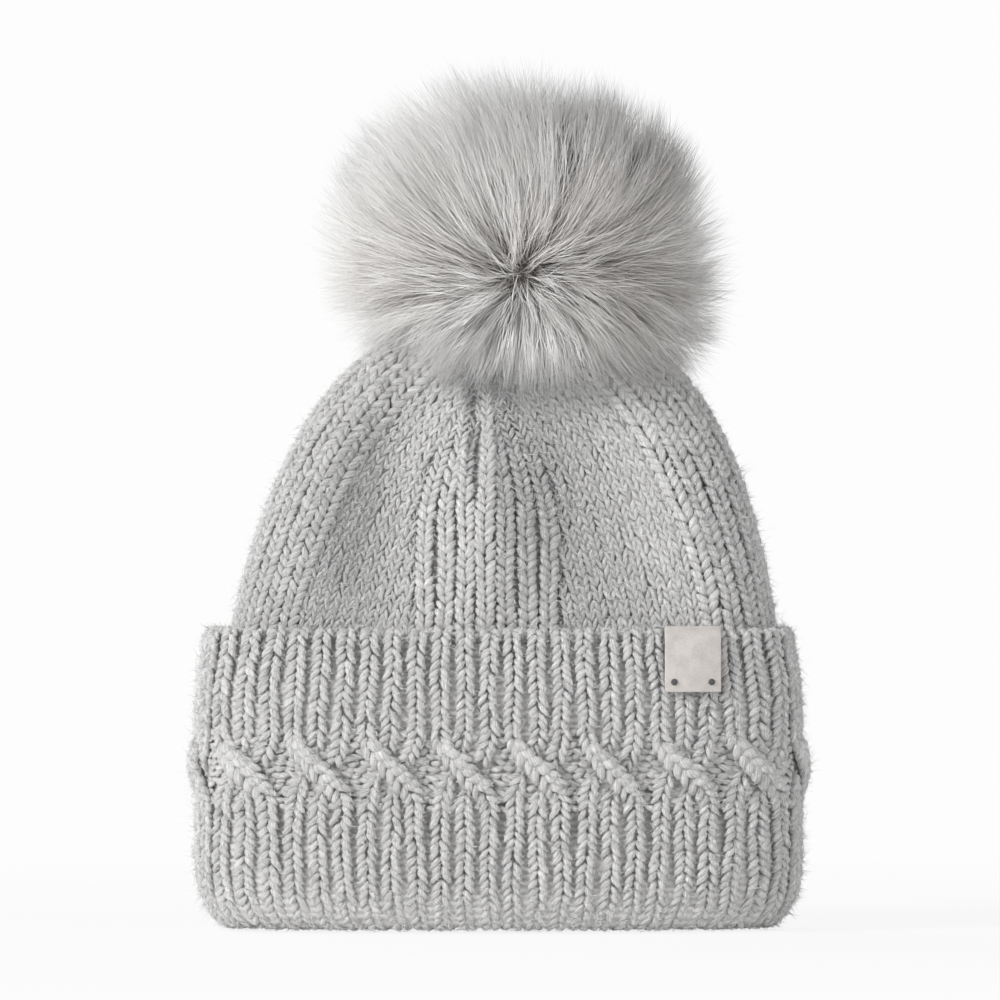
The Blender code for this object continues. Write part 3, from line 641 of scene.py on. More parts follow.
def cuffPurls():
    # the wrong side of the knit, as low bars in the hollows between wales
    rows = np.arange(cuff["crossAt"] - cuff["crossReach"], cuff["crossAt"] + cuff["crossReach"], purl["row"])
    bars = []
    for cell in range(cuff["cells"]):
        middle = (cell + 0.5) * cuff["cellWide"]
        for v in rows:
            share = crossShare(v)
            deep = purl["deep"] - 0.0007 * math.sin(math.pi * share)
            slide = purl["slide"] * (share - 0.5) + purl["stagger"] * (round(v / purl["row"]) % 2)
            for column in purl["columns"]:
                shake = chance.normal(0.0, 1.0, 4)
                x = middle + column + slide + 0.0005 * shake[0]
                bars.append((x, v + 0.0004 * shake[1], deep + 0.0003 * shake[2], shake[3]))
    x, v, h, shake = np.array(bars).T
    return gather([{
        "x": x, "v": v, "h": h, "wide": purl["tall"], "thick": purl["thick"], "bow": purl["bow"],
        "long": purl["wide"] * (1.0 + 0.12 * shake), "tilt": 0.2 * shake, "arch": purl["arch"],
        "nod": 0.0, "taper": 0.0,
    }])


def layCuff(legs, flat=False):
    across, along, out = bendLegs(legs, barShape if flat else legShape)
    x, v = legs["x"][:, None], legs["v"][:, None]
    if flat:  # a purl bar lies across the wale
        x, v = x + along, v - across
    else:
        slope = legs["slope"][:, None]
        size = np.sqrt(1.0 + slope**2)
        x, v = x + (across + slope * along) / size, v + (along - slope * across) / size
    return cuffSurface(x, v, legs["h"][:, None] + out)


def splitPieces(prefix, points, place, bounds, names, nodes, shape, paintedShade=1.0):
    paintedShade = np.ones(len(points)) * paintedShade
    for name, low, high in zip(names, bounds[:-1], bounds[1:]):
        pick = (place >= low) & (place < high)
        mesh = legMesh(points[pick], shape)
        # random tone for each leg, times painted shade from the crown's folds and from the leg's sunk sides
        tone = chance.normal(1.0, uneven["tone"], int(pick.sum())) * paintedShade[pick]
        tone = (tone[:, None] * shape["shade"]).ravel()
        makePiece(prefix + name, mesh, woolLook, "hat", nodes, tone=tone)


def buildCuff():
    wales = cuffWales()
    spans = np.array([0.0, 4.0, 8.0, 10.0, 14.0, 18.0, 20.0]) * cuff["cellWide"]
    spans[0], spans[-1] = -1.0, 1.0
    names = ("FrontLeft", "FrontRight", "RightEnd", "BackRight", "BackLeft", "LeftEnd")
    points = layCuff(wales)
    splitPieces("cuffRibs", points, wales["x"], spans, names, ["knit_cuff"], legShape)
    bars = cuffPurls()
    spans = np.array([-1.0, 8.0 * cuff["cellWide"], 1.0])
    names = ("Front", "Back")
    splitPieces("cuffPurls", layCuff(bars, True), bars["x"], spans, names, ["knit_cuff"], barShape)
    return points


def ringGrid(rings):
    # closed band of quads from rings that run all round, joined last to first
    rows, count = rings.shape[:2]
    i, j = np.meshgrid(np.arange(rows), np.arange(count), indexing="ij")
    row, nextRow, nextCol = i * count, (i + 1) % rows * count, (j + 1) % count
    quads = np.stack([row + j, row + nextCol, nextRow + nextCol, nextRow + j], axis=-1)
    return rings.reshape(-1, 3), quads.reshape(-1, 4)


def makeBackingPiece(name, rings, part):
    makePiece(name, (*ringGrid(rings), np.zeros((0, 3), int), None), backingLook, "hat", [part])


# inset and height of the backing's inner face, from the rim down and under the foot
cuffLining = (
    (0.0056, 0.103), (0.0062, 0.094), (0.0066, 0.05), (0.0066, 0.008), (0.0122, 0.0062), (0.0136, 0.0045),
)


def buildCuffBacking():
    cells = np.linspace(0.0, cuff["cells"], 320, endpoint=False) * cuff["cellWide"]
    vs = [np.linspace(cuffV[0], 0.014, 14), np.linspace(0.02, 0.088, 18), np.linspace(0.090, 0.104, 6)]
    vs = np.concatenate(vs)[:, None]
    deep = 0.0003 - 0.0013 * ease(vs, 0.004, 0.022) - 0.0008 * ease(vs, 0.084, 0.1)
    between = np.cos(math.pi * cells[None, :] / cuff["cellWide"]) ** 4  # 1 where two cells meet
    deep = deep - 0.0012 * between * ease(vs, 0.024, 0.04) * ease(vs, 0.078, 0.062)
    outer = cuffSurface(cells[None, :], vs, deep)
    t = cuffAngle(cells / cuff["cellWide"])
    inner = []
    for inset, z in cuffLining:
        halfWidth, halfDepth = cuff["halfWidth"] - inset - endTuck(z), cuff["halfDepth"] - inset
        x, y = squaredOval(t, halfWidth, halfDepth, cuff["power"])
        inner.append(np.stack([x, y, np.full(len(t), z)], axis=-1))
    makeBackingPiece("cuffBacking", np.concatenate([outer, np.array(inner)]), "knit_cuff")


cuffPoints = buildCuff()
buildCuffBacking()
print("cuff knitted")


# the crown, in ribbed gores and plain panels
crown = {
    "halfWidth": 0.1022, "halfDepth": 0.0402, "power": 3.0, "start": 0.060, "top": 0.219, "shift": 0.006,
    "eye": 0.0114, "widthPower": 0.75, "depthPower": 1.2, "risePower": 1.11, "wall": 0.006,
    "row": 0.0030, "low": 14.0, "high": 87.0, "sink": 0.0022, "frontLine": -0.0049,
    "sheet": 0.0038, "lean": (55.0, 88.0), "footUp": 0.0068, "eyelet": 0.004,
    # the crown's painted shade: a level that darkens all its stitches as under the pom, and how far fold
    # slopes turned away from the key lamp are darkened and those turned towards it lightened
    "paintedShade": 0.935, "paintedFoldShade": 0.85, "peek": 0.4, "lost": 0.22, "draw": 0.82, "drawSpan": (34.0, 66.0),
}
# ridge, hollow, ridge, hollow and ridge, as the share of the half width where each line starts and ends
folds = {
    "deep": 0.0104, "inner": 0.0090, "bulge": 0.0024, "bulgeFrom": 0.110, "start": 0.095, "end": 0.206,
    "crease": (-0.0085, 0.0032, 0.0034), "creaseFoot": (0.142, 0.168), "creaseTop": (0.212, 0.200),
    # the last two set the step over which a fold's slope is measured, and its limits, for the crown's
    # painted shade
    "sharp": 0.75, "peek": 0.03, "turned": (-0.12, 0.2),
    "lines": ((-0.785, -0.87), (-0.386, -0.574), (-0.01, -0.13), (0.57, 0.266), (0.887, 0.652)),
}


def crownRow(angle):
    c = np.maximum(np.cos(np.radians(angle)), 0.0)
    rise = np.sin(np.radians(angle)) ** crown["risePower"]
    p = crown["eye"]
    a = p + (crown["halfWidth"] - p) * c ** crown["widthPower"]
    b = p + (crown["halfDepth"] - p) * c ** crown["depthPower"]
    z = crown["start"] + (crown["top"] - crown["start"]) * rise
    return a, b, 2.0 + (crown["power"] - 2.0) * c, crown["shift"] * rise, z


tableAngles = np.linspace(0.0, 90.0, 181)
tableReach = np.linspace(0.0, 0.160, 321)


def makeCrownTable():
    # places round a quarter of each row, and the distance to the front and back middle lines
    t = np.linspace(0.0, math.radians(130.0), 2600)
    xs, ys, reach = [], [], []
    for angle in tableAngles:
        a, b, n, middle, _ = crownRow(angle)
        x, y = squaredOval(t, a, b, n)
        s = runLength(x, y)
        xs.append(np.interp(tableReach, s, x))
        ys.append(np.interp(tableReach, s, y))
        line = crown["frontLine"] - middle
        reach.append([np.interp(line, -x, s), np.interp(-line, -x, s), np.interp(0.0, -x, s)])
    return np.array(xs), np.array(ys), np.array(reach)


crownX, crownY, crownReach = makeCrownTable()


def crownFold(share, isFront, z):
    # 0 on a ridge and 1 in a hollow
    up = np.clip((z - folds["start"]) / (folds["end"] - folds["start"]), 0.0, 1.0)
    lines = [low + (high - low) * up for low, high in folds["lines"]]
    place = np.where(isFront, share, lines[2] - share)
    total = 0.0
    for k in range(4):
        part = np.clip((place - lines[k]) / (lines[k + 1] - lines[k]), 0.0, 1.0)
        part = part ** (folds["sharp"] if k == 2 else 1.0)  # the middle ridge falls off sharply to the right
        total = total + (-1) ** k * 0.5 * (1.0 - np.cos(math.pi * part))
    return total * np.sin(math.pi * up)


def crownCrease(x, z):
    # the front gore is nipped beside its middle rib under the pom
    line, wide, deep = folds["crease"]
    span = ease(z, *folds["creaseFoot"]) * ease(z, *folds["creaseTop"])
    return deep * np.exp(-(((x - line) / wide) ** 2)) * span


def crownBulge(share, fold, z):
    # the ridges between the hollows swell a little
    up = np.clip((z - folds["bulgeFrom"]) / (folds["end"] - folds["bulgeFrom"]), 0.0, 1.0)
    inward = 1.0 - np.clip(np.abs(share), 0.0, 1.0) ** 6
    return folds["bulge"] * np.maximum(np.sin(math.pi * up) - fold, 0.0) * inward


def crownPlace(half, s, angle):
    f = np.clip(angle, 0.0, 89.999) / 90.0 * (len(tableAngles) - 1)
    g = np.clip(np.abs(s), 0.0, 0.1599) / tableReach[-1] * (len(tableReach) - 1)
    i, j = f.astype(int), g.astype(int)
    u, w = f - i, g - j

    def look(table):
        low = table[i, j] * (1 - w) + table[i, j + 1] * w
        high = table[i + 1, j] * (1 - w) + table[i + 1, j + 1] * w
        return low * (1 - u) + high * u

    a, _, _, middle, z = crownRow(np.clip(angle, 0.0, 90.0))
    across = half * look(crownX)
    fold = crownFold(across / a, s > 0.0, z)
    depth = look(crownY) - folds["deep"] * fold + crownBulge(across / a, fold, z)
    depth = depth - crownCrease(middle + across, z) * (s > 0.0)
    return np.stack([middle + across, -np.sign(s) * depth, z + 0.0 * s], axis=-1)


def crownFrame(legs):
    # point on the folded knit, with its across, along and out directions
    half, s, angle = legs["half"], legs["s"], legs["angle"]
    here = crownPlace(half, s, angle)
    peek = crown["peek"]
    along = crownPlace(half, legs["ahead"], angle + peek) - crownPlace(half, legs["behind"], angle - peek)
    roundStep = crownPlace(half, s + 0.0008, angle) - crownPlace(half, s - 0.0008, angle)
    scale = np.linalg.norm(along, axis=-1) / (2.0 * peek)
    along = unit(along)
    out = unit(np.cross(along, roundStep) * np.sign(half)[:, None])
    return here - crown["sink"] * out, np.cross(along, out), along, out, scale


def crownRows():
    fine = np.linspace(crown["low"], crown["high"], 800)
    a, b, _, _, z = crownRow(fine)
    along = runLength(0.35 * a + 0.65 * b, z)
    return np.interp(np.arange(0.0, along[-1], crown["row"]), along, fine)


# ribs from the side, plain wales, ribs to the middle line, for each quarter
gores = {(-1, 1): (5, 12, 3), (1, 1): (5, 13, 3), (-1, -1): (5, 12, 3), (1, -1): (5, 12, 3)}
crownRib = {
    "pitch": 0.0080, "wide": 0.0017, "thick": 0.0014, "tilt": 0.50,
    "off": 0.0016, "arch": 0.0009, "rise": 0.0007,
}
crownPlain = {
    "pitch": 0.0039, "wide": 0.0010, "thick": 0.0013, "tilt": 0.36,
    "off": 0.0009, "arch": 0.0005, "rise": 0.0,
}
crownMiddle = {
    "pitch": 0.0074, "wide": 0.00165, "thick": 0.0013, "tilt": 0.48,
    "off": 0.00155, "arch": 0.0009, "rise": 0.0006,
}


# what all the crown's stitches share, and how far a lost wale sinks and thins
crownLeg = {"long": 0.90, "bow": 0.0002, "nod": 0.0003, "taper": -0.12, "lostDrop": 0.0012, "lostThin": 0.4}


def goreDraw(angle):
    # the ribs of the middle gore run side by side, then draw together under the pom
    return 1.0 - crown["draw"] * ease(angle, *crown["drawSpan"])


def quarterWales(half, front):
    # each wale's kind, width and path, from the side line to the front or back middle line
    column = (0 if half < 0 else 1) if front > 0 else 2
    reachLow = np.interp(crown["low"], tableAngles, crownReach[:, column])
    sideRibs, plain, ribs = gores[(half, front)]
    kinds = [crownRib] * sideRibs + [crownPlain] * plain + [crownMiddle] * ribs
    widths = np.array([k["pitch"] for k in kinds])
    widths *= (reachLow - crownMiddle["pitch"] / 2 - crownRib["pitch"] / 2) / widths.sum()
    edges = crownRib["pitch"] / 2 + np.concatenate([[0.0], np.cumsum(widths)])
    goreEdge = edges[sideRibs + plain]

    def makePath(low, width, inGore):
        def path(angle):
            reach = np.interp(angle, tableAngles, crownReach[:, column])
            narrow = goreDraw(angle)
            if inGore:
                return front * (reach - (reachLow - low - width / 2) * narrow), narrow
            limit = reach - (reachLow - goreEdge) * narrow  # plain wales are lost beside the gore
            squeeze = np.clip((limit - low) / width, 0.0, 1.0)
            return front * (low + squeeze * width / 2), squeeze
        return path

    wales = []
    for k, kind in enumerate(kinds):
        path = makePath(edges[k], widths[k], k >= sideRibs + plain)
        wales.append((kind, widths[k] / kind["pitch"], path))
    return wales


def waleLegs(half, path, angles, kind, wide, extra=0.0):
    parts = []
    lag = chance.uniform(-0.3, 0.3)
    pitch, thin = np.gradient(angles), crownLeg["lostThin"]
    for side in (-1.0, 1.0):
        wobble = chance.normal(0.0, 1.0, (4, len(angles)))
        angle = angles + (lag + uneven["crownAlong"] * wobble[1]) * pitch
        s, squeeze = path(angle)
        s = s + 0.0003 * np.sin(0.3 * angle + 20.0 * lag)
        one = {
            "half": float(half), "s": s, "angle": angle, "pitch": pitch,
            "ahead": path(angle + crown["peek"])[0], "behind": path(angle - crown["peek"])[0],
            "off": side * kind["off"] * wide * squeeze + uneven["crownAcross"] * wobble[0],
            "h": kind["rise"] + extra - crownLeg["lostDrop"] * (1.0 - squeeze) + uneven["out"] * wobble[2],
            "wide": kind["wide"] * wide * squeeze * (1.0 + uneven["wide"] * wobble[3]),
            "thick": kind["thick"] * (thin + (1.0 - thin) * squeeze), "long": crownLeg["long"],
            "tilt": side * kind["tilt"] * (1.0 + uneven["tilt"] * wobble[0]),
            "bow": side * crownLeg["bow"], "arch": kind["arch"],
            "nod": crownLeg["nod"], "taper": crownLeg["taper"],
        }
        parts.append(pickLegs(one, squeeze > crown["lost"]))
    return parts


def crownLegs():
    angles = crownRows()

    def sideLine(angle):
        return 0.0 * angle + 1e-6, 1.0 + 0.0 * angle

    def frontLine(angle):
        return np.interp(angle, tableAngles, crownReach[:, 1]), 0.3 + 0.7 * goreDraw(angle)

    parts = waleLegs(1, frontLine, angles, crownMiddle, 1.05, 0.0003)
    for half in (-1, 1):
        parts += waleLegs(half, sideLine, angles, crownRib, 1.0)
        for front in (1, -1):
            for kind, wide, path in quarterWales(half, front):
                parts += waleLegs(half, path, angles, kind, wide)
    return gather([part for part in parts if len(part["s"])])


def layCrown(legs):
    here, across, along, out, scale = crownFrame(legs)
    step = legs["pitch"] * scale
    legs["long"] = legs["long"] * step
    legs["tilt"] = legs["tilt"] * np.minimum(1.0, crown["row"] / step)  # long stitches stand steeper
    a, b, c = bendLegs(legs, legShape)
    a = a + legs["off"][:, None]
    c = c + legs["h"][:, None]
    points = here[:, None]
    for size, way in ((a, across), (b, along), (c, out)):
        points = points + size[..., None] * way[:, None]
    return points


def buildCrown():
    points = layCrown(crownLegs())
    here = points.mean(axis=1)
    turn = np.degrees(np.arctan2(here[:, 1] / 0.04, (here[:, 0] - crown["shift"]) / 0.1)) % 360.0
    spans = np.array([0.0, 45.0, 90.0, 135.0, 180.0, 240.0, 270.0, 300.0, 360.1])
    names = ("BackRightEnd", "BackRight", "BackLeft", "BackLeftEnd")
    names += ("FrontLeftEnd", "FrontLeft", "FrontRight", "FrontRightEnd")
    a, _, _, middle, z = crownRow(np.interp(here[:, 2], crownRow(tableAngles)[4], tableAngles))
    share = (here[:, 0] - middle) / a
    onFront = here[:, 1] < 0.0
    # painted shade and light: the whole crown is darkened as under the pom, and each front fold slope is
    # darker where it turns right, away from the key lamp, and lighter where it turns left
    right, left = (crownFold(share + step, onFront, z) for step in (folds["peek"], -folds["peek"]))
    turned = np.clip(np.where(onFront, right - left, 0.0), *folds["turned"])
    paintedShade = crown["paintedShade"] - crown["paintedFoldShade"] * turned  # painted shade, darker on fold slopes turned away from the key lamp
    splitPieces("crown", points, turn, spans, names, ["knit_crown"], legShape, paintedShade)
    return points


def crownSheetRing(angle, inset, deep, turns):
    # the sheet behind the stitches: the outer face sinks under them, the inner face is a wall's depth in
    a, b, n, middle, z = crownRow(angle)
    lean = ease(angle, *crown["lean"])
    a, b, z = a - inset * (1.0 - 0.5 * lean), b - inset * (1.0 - 0.5 * lean), z - inset * lean
    x, y = squaredOval(turns, a, b, n)
    fold = crownFold(x / a, y < 0.0, np.full(len(x), z))
    crease = crownCrease(x + middle, z) * (y < 0.0)
    y = y - np.sign(y) * (deep * fold - crownBulge(x / a, fold, z) + crease)
    return np.stack([x + middle, y, np.full(len(x), z)], axis=-1)


def buildCrownBacking():
    turns = np.linspace(0.0, 2.0 * math.pi, 216, endpoint=False)
    up, down = np.linspace(0.0, 89.0, 52), np.linspace(89.0, 0.0, 30)
    outer = [crownSheetRing(angle, crown["sheet"], folds["deep"], turns) for angle in up]
    inner = [crownSheetRing(angle, crown["wall"], folds["inner"], turns) for angle in down]
    eyelet = crown["eyelet"] * np.stack([np.cos(turns), np.sin(turns), 0.0 * turns], axis=-1)
    rims = [eyelet + np.array([crown["shift"], 0.0, ring[0, 2]]) for ring in (outer[-1], inner[0])]
    feet = []
    for ring in (outer[0], inner[-1]):
        foot = ring.copy()
        foot[:, 2] = crown["footUp"]
        foot[:, 0] *= 1.0 - endTuck(foot[:, 2]) / crown["halfWidth"]
        waist = ring.copy()
        waist[:, 2] = cuff["tuckUp"]
        feet.append((foot, waist))
    order = [feet[0][0], feet[0][1]] + outer + rims + inner + [feet[1][1], feet[1][0]]
    makeBackingPiece("crownBacking", np.array(order), "knit_crown")


crownPoints = buildCrown()
buildCrownBacking()
print("crown knitted")


# the sewn line up the back, as a tighter chain
seam = {
    "wide": 0.0014, "thick": 0.0014, "tilt": 0.8, "off": 0.0012, "arch": 0.0005, "rise": 0.0012,
    "row": 0.0032, "backCell": 14.0, "span": (18.0, 82.0), "count": 38, "cuffSpan": (0.014, 0.100),
    "long": 0.75, "nod": -0.0003, "taper": 0.05, "up": 0.0006, "shake": 0.0002, "tiltShake": 0.15,
}


def buildSeams():
    def backLine(angle):
        return -np.interp(angle, tableAngles, crownReach[:, 2]), 1.0 + 0.0 * angle

    angles = np.linspace(*seam["span"], seam["count"])
    points = layCrown(gather(waleLegs(1, backLine, angles, seam, 1.0)))
    everywhere = np.array([-1.0, 1.0])
    splitPieces("crownSeam", points, points[:, 0, 1], everywhere, ("Back",), ["crown_seam"], legShape)
    v = np.arange(*seam["cuffSpan"], seam["row"])
    parts = []
    for side in (-1.0, 1.0):
        shake = chance.normal(0.0, 1.0, (2, len(v)))
        parts.append({
            "x": cuff["cellWide"] * seam["backCell"] + side * seam["off"], "v": v + seam["shake"] * shake[0],
            "h": np.full(len(v), seam["up"]), "slope": 0.0, "wide": seam["wide"], "thick": seam["thick"],
            "long": seam["long"] * seam["row"], "bow": 0.0, "arch": seam["arch"],
            "tilt": -side * seam["tilt"] * (1.0 + seam["tiltShake"] * shake[1]),
            "nod": seam["nod"], "taper": seam["taper"],
        })
    points = layCuff(gather(parts))
    splitPieces("cuffSeam", points, points[:, 0, 1], everywhere, ("Back",), ["cuff_seam"], legShape)


buildSeams()
print("seams sewn")


# the sewn tag, folded over the rim
def makeSuede():
    soft = {"Specular_IOR_Level": 0.1, "Sheen_Weight": 0.35, "Sheen_Roughness": 0.4}
    look, tree, shader = newLook("paleSuede", 0.95, **soft)
    nap = pattern(tree, fineGrain, Scale=2600.0, Detail=5.0, Roughness=0.7)
    patch = pattern(tree, fineGrain, Scale=170.0, Detail=3.0, Roughness=0.5)
    both = node(tree, "Math", (patch, 0.6, nap), operation="MULTIPLY_ADD").outputs[0]
    paint(tree, shader, ramp(tree, both, ((0.55, tag["dark"]), (1.05, tag["pale"]))))
    roughen(tree, shader, nap, 0.7, 0.0003)
    return look


def tagPath():
    # inset and height of the tag's middle, up the front, over the rim and down behind it
    over, back = np.linspace(0.0, 0.5 * math.pi, 30), np.linspace(0.5 * math.pi, 0.0, 10)
    r, up, foot = cuff["rimRound"], cuff["rimUp"], cuff["height"] - tag["drop"]
    small = cuff["wall"] / 6.0
    wall, top = cuff["wall"], cuff["height"]
    inset = np.concatenate([[0.0], r - r * np.cos(over), wall - small + small * np.cos(back), [wall]])
    high = np.concatenate([[foot], top - up + up * np.sin(over), top - small + small * np.sin(back), [foot]])
    _, inset, high, faceIn, faceUp = evenLine(inset, high, tag["steps"] + 1)
    off = tag["gap"] + tag["thick"] / 2.0
    return inset - off * faceIn, high - off * faceUp


def applyAll(piece):
    bpy.ops.object.select_all(action="DESELECT")
    piece.select_set(True)
    bpy.context.view_layer.objects.active = piece
    for modifier in list(piece.modifiers):
        bpy.ops.object.modifier_apply(modifier=modifier.name)
    bpy.ops.object.mode_set(mode="EDIT")
    bpy.ops.mesh.select_all(action="SELECT")
    bpy.ops.mesh.normals_make_consistent(inside=False)
    bpy.ops.object.mode_set(mode="OBJECT")
    bpy.ops.object.select_all(action="DESELECT")


def buildTag():
    steps = tag["steps"]
    bpy.ops.mesh.primitive_grid_add(x_subdivisions=16, y_subdivisions=steps, size=1.0)
    piece = bpy.context.object
    piece.name = "sewnTag"
    inset, high = tagPath()
    for vert in piece.data.vertices:
        spot = (vert.co.y + 0.5) * steps
        into, z = (np.interp(spot, np.arange(steps + 1), line) for line in (inset, high))
        x = tag["x"] + vert.co.x * tag["wide"]
        share = 1.0 - (abs(x) / (cuff["halfWidth"] - into)) ** cuff["power"]
        lift = ease(spot, 12.0, 0.0)  # the lower edge lifts a little
        curl = tag["curl"] * lift * math.cos(5.0 * vert.co.x + 0.6)
        vert.co = (x, -(cuff["halfDepth"] - into) * share ** (1.0 / cuff["power"]) - curl, z)
    solid = piece.modifiers.new("thickness", "SOLIDIFY")
    solid.thickness = tag["thick"]
    solid.offset = 0.0
    edges = piece.modifiers.new("edges", "BEVEL")
    edges.width = tag["bevel"]
    edges.segments = 2
    edges.limit_method = "ANGLE"
    applyAll(piece)
    piece.data.shade_smooth()
    piece.data.set_sharp_from_angle(angle=math.radians(50))
    piece.data.materials.append(makeSuede())
    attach(piece, "hat")
    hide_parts("label_strap")


buildTag()
print("tag sewn on")


# loose fibre that stands off the yarn all over
fuzz = {
    "cuff": {"short": 68000, "long": 4400}, "crown": {"short": 76000, "long": 5600}, "ground": 0.0005,
    "short": {"reach": 0.0023, "bends": 2, "thick": 0.00013},
    "long": {"reach": 0.0042, "bends": 3, "thick": 0.000052},
    "proud": -0.3, "shake": 0.0003, "stand": (0.05, 0.5), "curl": 0.6, "fall": 0.2,
    "tone": (0.74, 0.2), "thinThick": (0.7, 1.3),
}


def hairPlace(tree):
    # a hair's tone as X and the place along it as Y
    place = node(tree, "UVMap", uv_map=furMap)
    return node(tree, "SeparateXYZ", (place.outputs["UV"],)).outputs


def makeFuzzLook():
    look, tree, shader = newLook("looseFibre", 0.8, Specular_IOR_Level=0.2)
    tone = hairPlace(tree)["X"]
    paint(tree, shader, ramp(tree, tone, ((0.0, grey(0.45, 0.012)), (1.0, grey(1.0)))))
    return look


def growFuzz(points, shape, count, reach, bends):
    proud = np.where(shape["points"][:, 1] > fuzz["proud"])[0]
    legs = chance.integers(0, len(points), count)
    root = points[legs, proud[chance.integers(0, len(proud), count)]]
    away = unit(root - points[legs].mean(axis=1))
    root = root + chance.normal(0.0, fuzz["shake"], (count, 3))
    flat = chance.normal(0.0, 1.0, (count, 3))
    flat = unit(flat - away * np.sum(flat * away, axis=-1, keepdims=True))
    start = unit(flat + away * chance.uniform(*fuzz["stand"], (count, 1)))
    curl = fuzz["curl"] * unit(chance.normal(0.0, 1.0, (count, 3))) - fuzz["fall"] * away
    long = reach * np.minimum(chance.gamma(5.0, 0.2, count), 1.8)
    t = np.linspace(0.0, 1.0, bends)[None, :, None]
    path = root[:, None] + long[:, None, None] * (t * start[:, None] + t * t * curl[:, None])
    path[..., 2] = np.maximum(path[..., 2], fuzz["ground"])
    return path


def buildFuzz():
    look = makeFuzzLook()
    for name, points, part in (("cuff", cuffPoints, "knit_cuff"), ("crown", crownPoints, "knit_crown")):
        for kind, count in fuzz[name].items():
            path = growFuzz(points, legShape, count, fuzz[kind]["reach"], fuzz[kind]["bends"])
            tone = np.clip(chance.normal(*fuzz["tone"], count), 0.02, 0.96)
            thick = fuzz[kind]["thick"] * chance.uniform(*fuzz["thinThick"], count)
            for side, pick in (("Front", path[:, 0, 1] < 0.0), ("Back", path[:, 0, 1] >= 0.0)):
                mesh = hairMesh(path[pick], tone[pick], thick[pick])
                title = name + kind.title() + "Fuzz" + side
                makePiece(title, mesh, look, "hat", [part], furMap)


buildFuzz()
print("fuzz raised")


# the fur pom
fur = {
    "centre": (0.0106, 0.0, 0.237), "wide": 0.0772, "deep": 0.063, "rise": 0.0762, "sag": 0.056,
    "power": 2.18, "topShift": 0.0065, "core": (0.0086, 0.0, 0.2430), "coreSize": (0.027, 0.027, 0.021),
    "whorl": (0.038, -0.91, -0.40), "farWhorl": (-0.05, 0.95, -0.18), "lowest": -0.86,
    "locks": 2800, "hairs": 15, "points": 4, "thick": 0.000115, "looseShare": 0.25, "guardShare": 0.10,
    "lean": 1.15, "farLean": 0.85, "sway": ((0.10, 3.0), (0.24, 6.0), (0.12, 15.0)), "elbow": 0.62,
    "wave": 0.0020, "crownGap": 0.0022, "cutDeep": 0.007,
    "rootBlur": 0.045, "tipBlur": 0.035, "looseBlur": 0.14, "long": (0.985, 0.04), "looseLong": 0.015,
    "thinThick": (0.75, 1.2), "looseThin": 0.75, "guardThick": 1.7, "guardPale": 0.3,
}
# from root to tip along a hair, from dark locks to pale ones, and what each side adds to a lock's tone:
# painted shade to the right, front right and left, and painted light underneath and on top
furShades = {
    "middle": 0.65, "drift": 0.09, "blur": 0.2, "right": -0.3, "frontRight": -0.45, "left": -0.2,
    "under": 0.25, "top": 0.15,
    "along": (
        (0.0, (0.68, 0.65, 0.63)), (0.35, (0.87, 0.85, 0.835)),
        (0.62, (0.94, 0.93, 0.92)), (1.0, (0.97, 0.965, 0.96)),
    ),
    "locks": ((0.0, grey(0.64, 0.03)), (0.5, grey(0.92, 0.01)), (1.0, grey(1.0))),
}


def makeFurLook():
    look, tree, shader = newLook("palePomFur", 0.55, Specular_IOR_Level=0.25, Sheen_Weight=0.2)
    place = hairPlace(tree)
    along = ramp(tree, place["Y"], furShades["along"])
    tone = ramp(tree, place["X"], furShades["locks"])
    paint(tree, shader, multiply(tree, along, tone))
    return look


def spread(count):
    # even places all over a ball, a little shaken
    k = np.arange(count) + 0.5
    z = 1.0 - 2.0 * k / count
    turn = k * math.pi * (3.0 - math.sqrt(5.0))
    r = np.sqrt(1.0 - z * z)
    rays = np.stack([r * np.cos(turn), r * np.sin(turn), z], axis=-1)
    return unit(rays + chance.normal(0.0, 0.018, rays.shape))


def furEdge(rays):
    # the pom sags, so it is widest below its middle
    tall = np.where(rays[..., 2] > 0.0, fur["rise"], fur["sag"] * (1.0 + 0.10 * rays[..., 0]))
    half = np.stack([fur["wide"] + 0.0 * tall, fur["deep"] + 0.0 * tall, tall], axis=-1)
    size = np.sum(np.abs(rays / half) ** fur["power"], axis=-1) ** (-1.0 / fur["power"])
    edge = np.array(fur["centre"]) + rays * size[..., None]
    edge[..., 0] -= fur["topShift"] * np.maximum(rays[..., 2], 0.0)
    return edge


def drift(rays, pace):
    # smooth chance over the ball, so that neighbouring locks lean alike
    axes = unit(chance.normal(0.0, 1.0, (6, 3)))
    phase = chance.uniform(0.0, 2.0 * math.pi, 6)
    return np.sin(pace * rays @ axes.T + phase).sum(axis=1) / math.sqrt(3.0)


def clearCrown(points, gap):
    # hair that would run into the crown lies on it instead
    z = points[..., 2]
    rise = np.clip((z - crown["start"]) / (crown["top"] + gap - crown["start"]), 0.0, 1.0)
    angle = np.degrees(np.arcsin(rise ** (1.0 / crown["risePower"])))
    a, b, n, middle, _ = crownRow(angle)
    a, b = a + gap, b + gap
    x, y = points[..., 0] - middle, points[..., 1]
    size = (np.abs(x / a) ** n + np.abs(y / b) ** n) ** (1.0 / n)
    push = np.where((size < 1.0) & (z < crown["top"] + gap), 1.0 / np.maximum(size, 0.35), 1.0)
    return np.stack([middle + x * push, y * push, z], axis=-1)


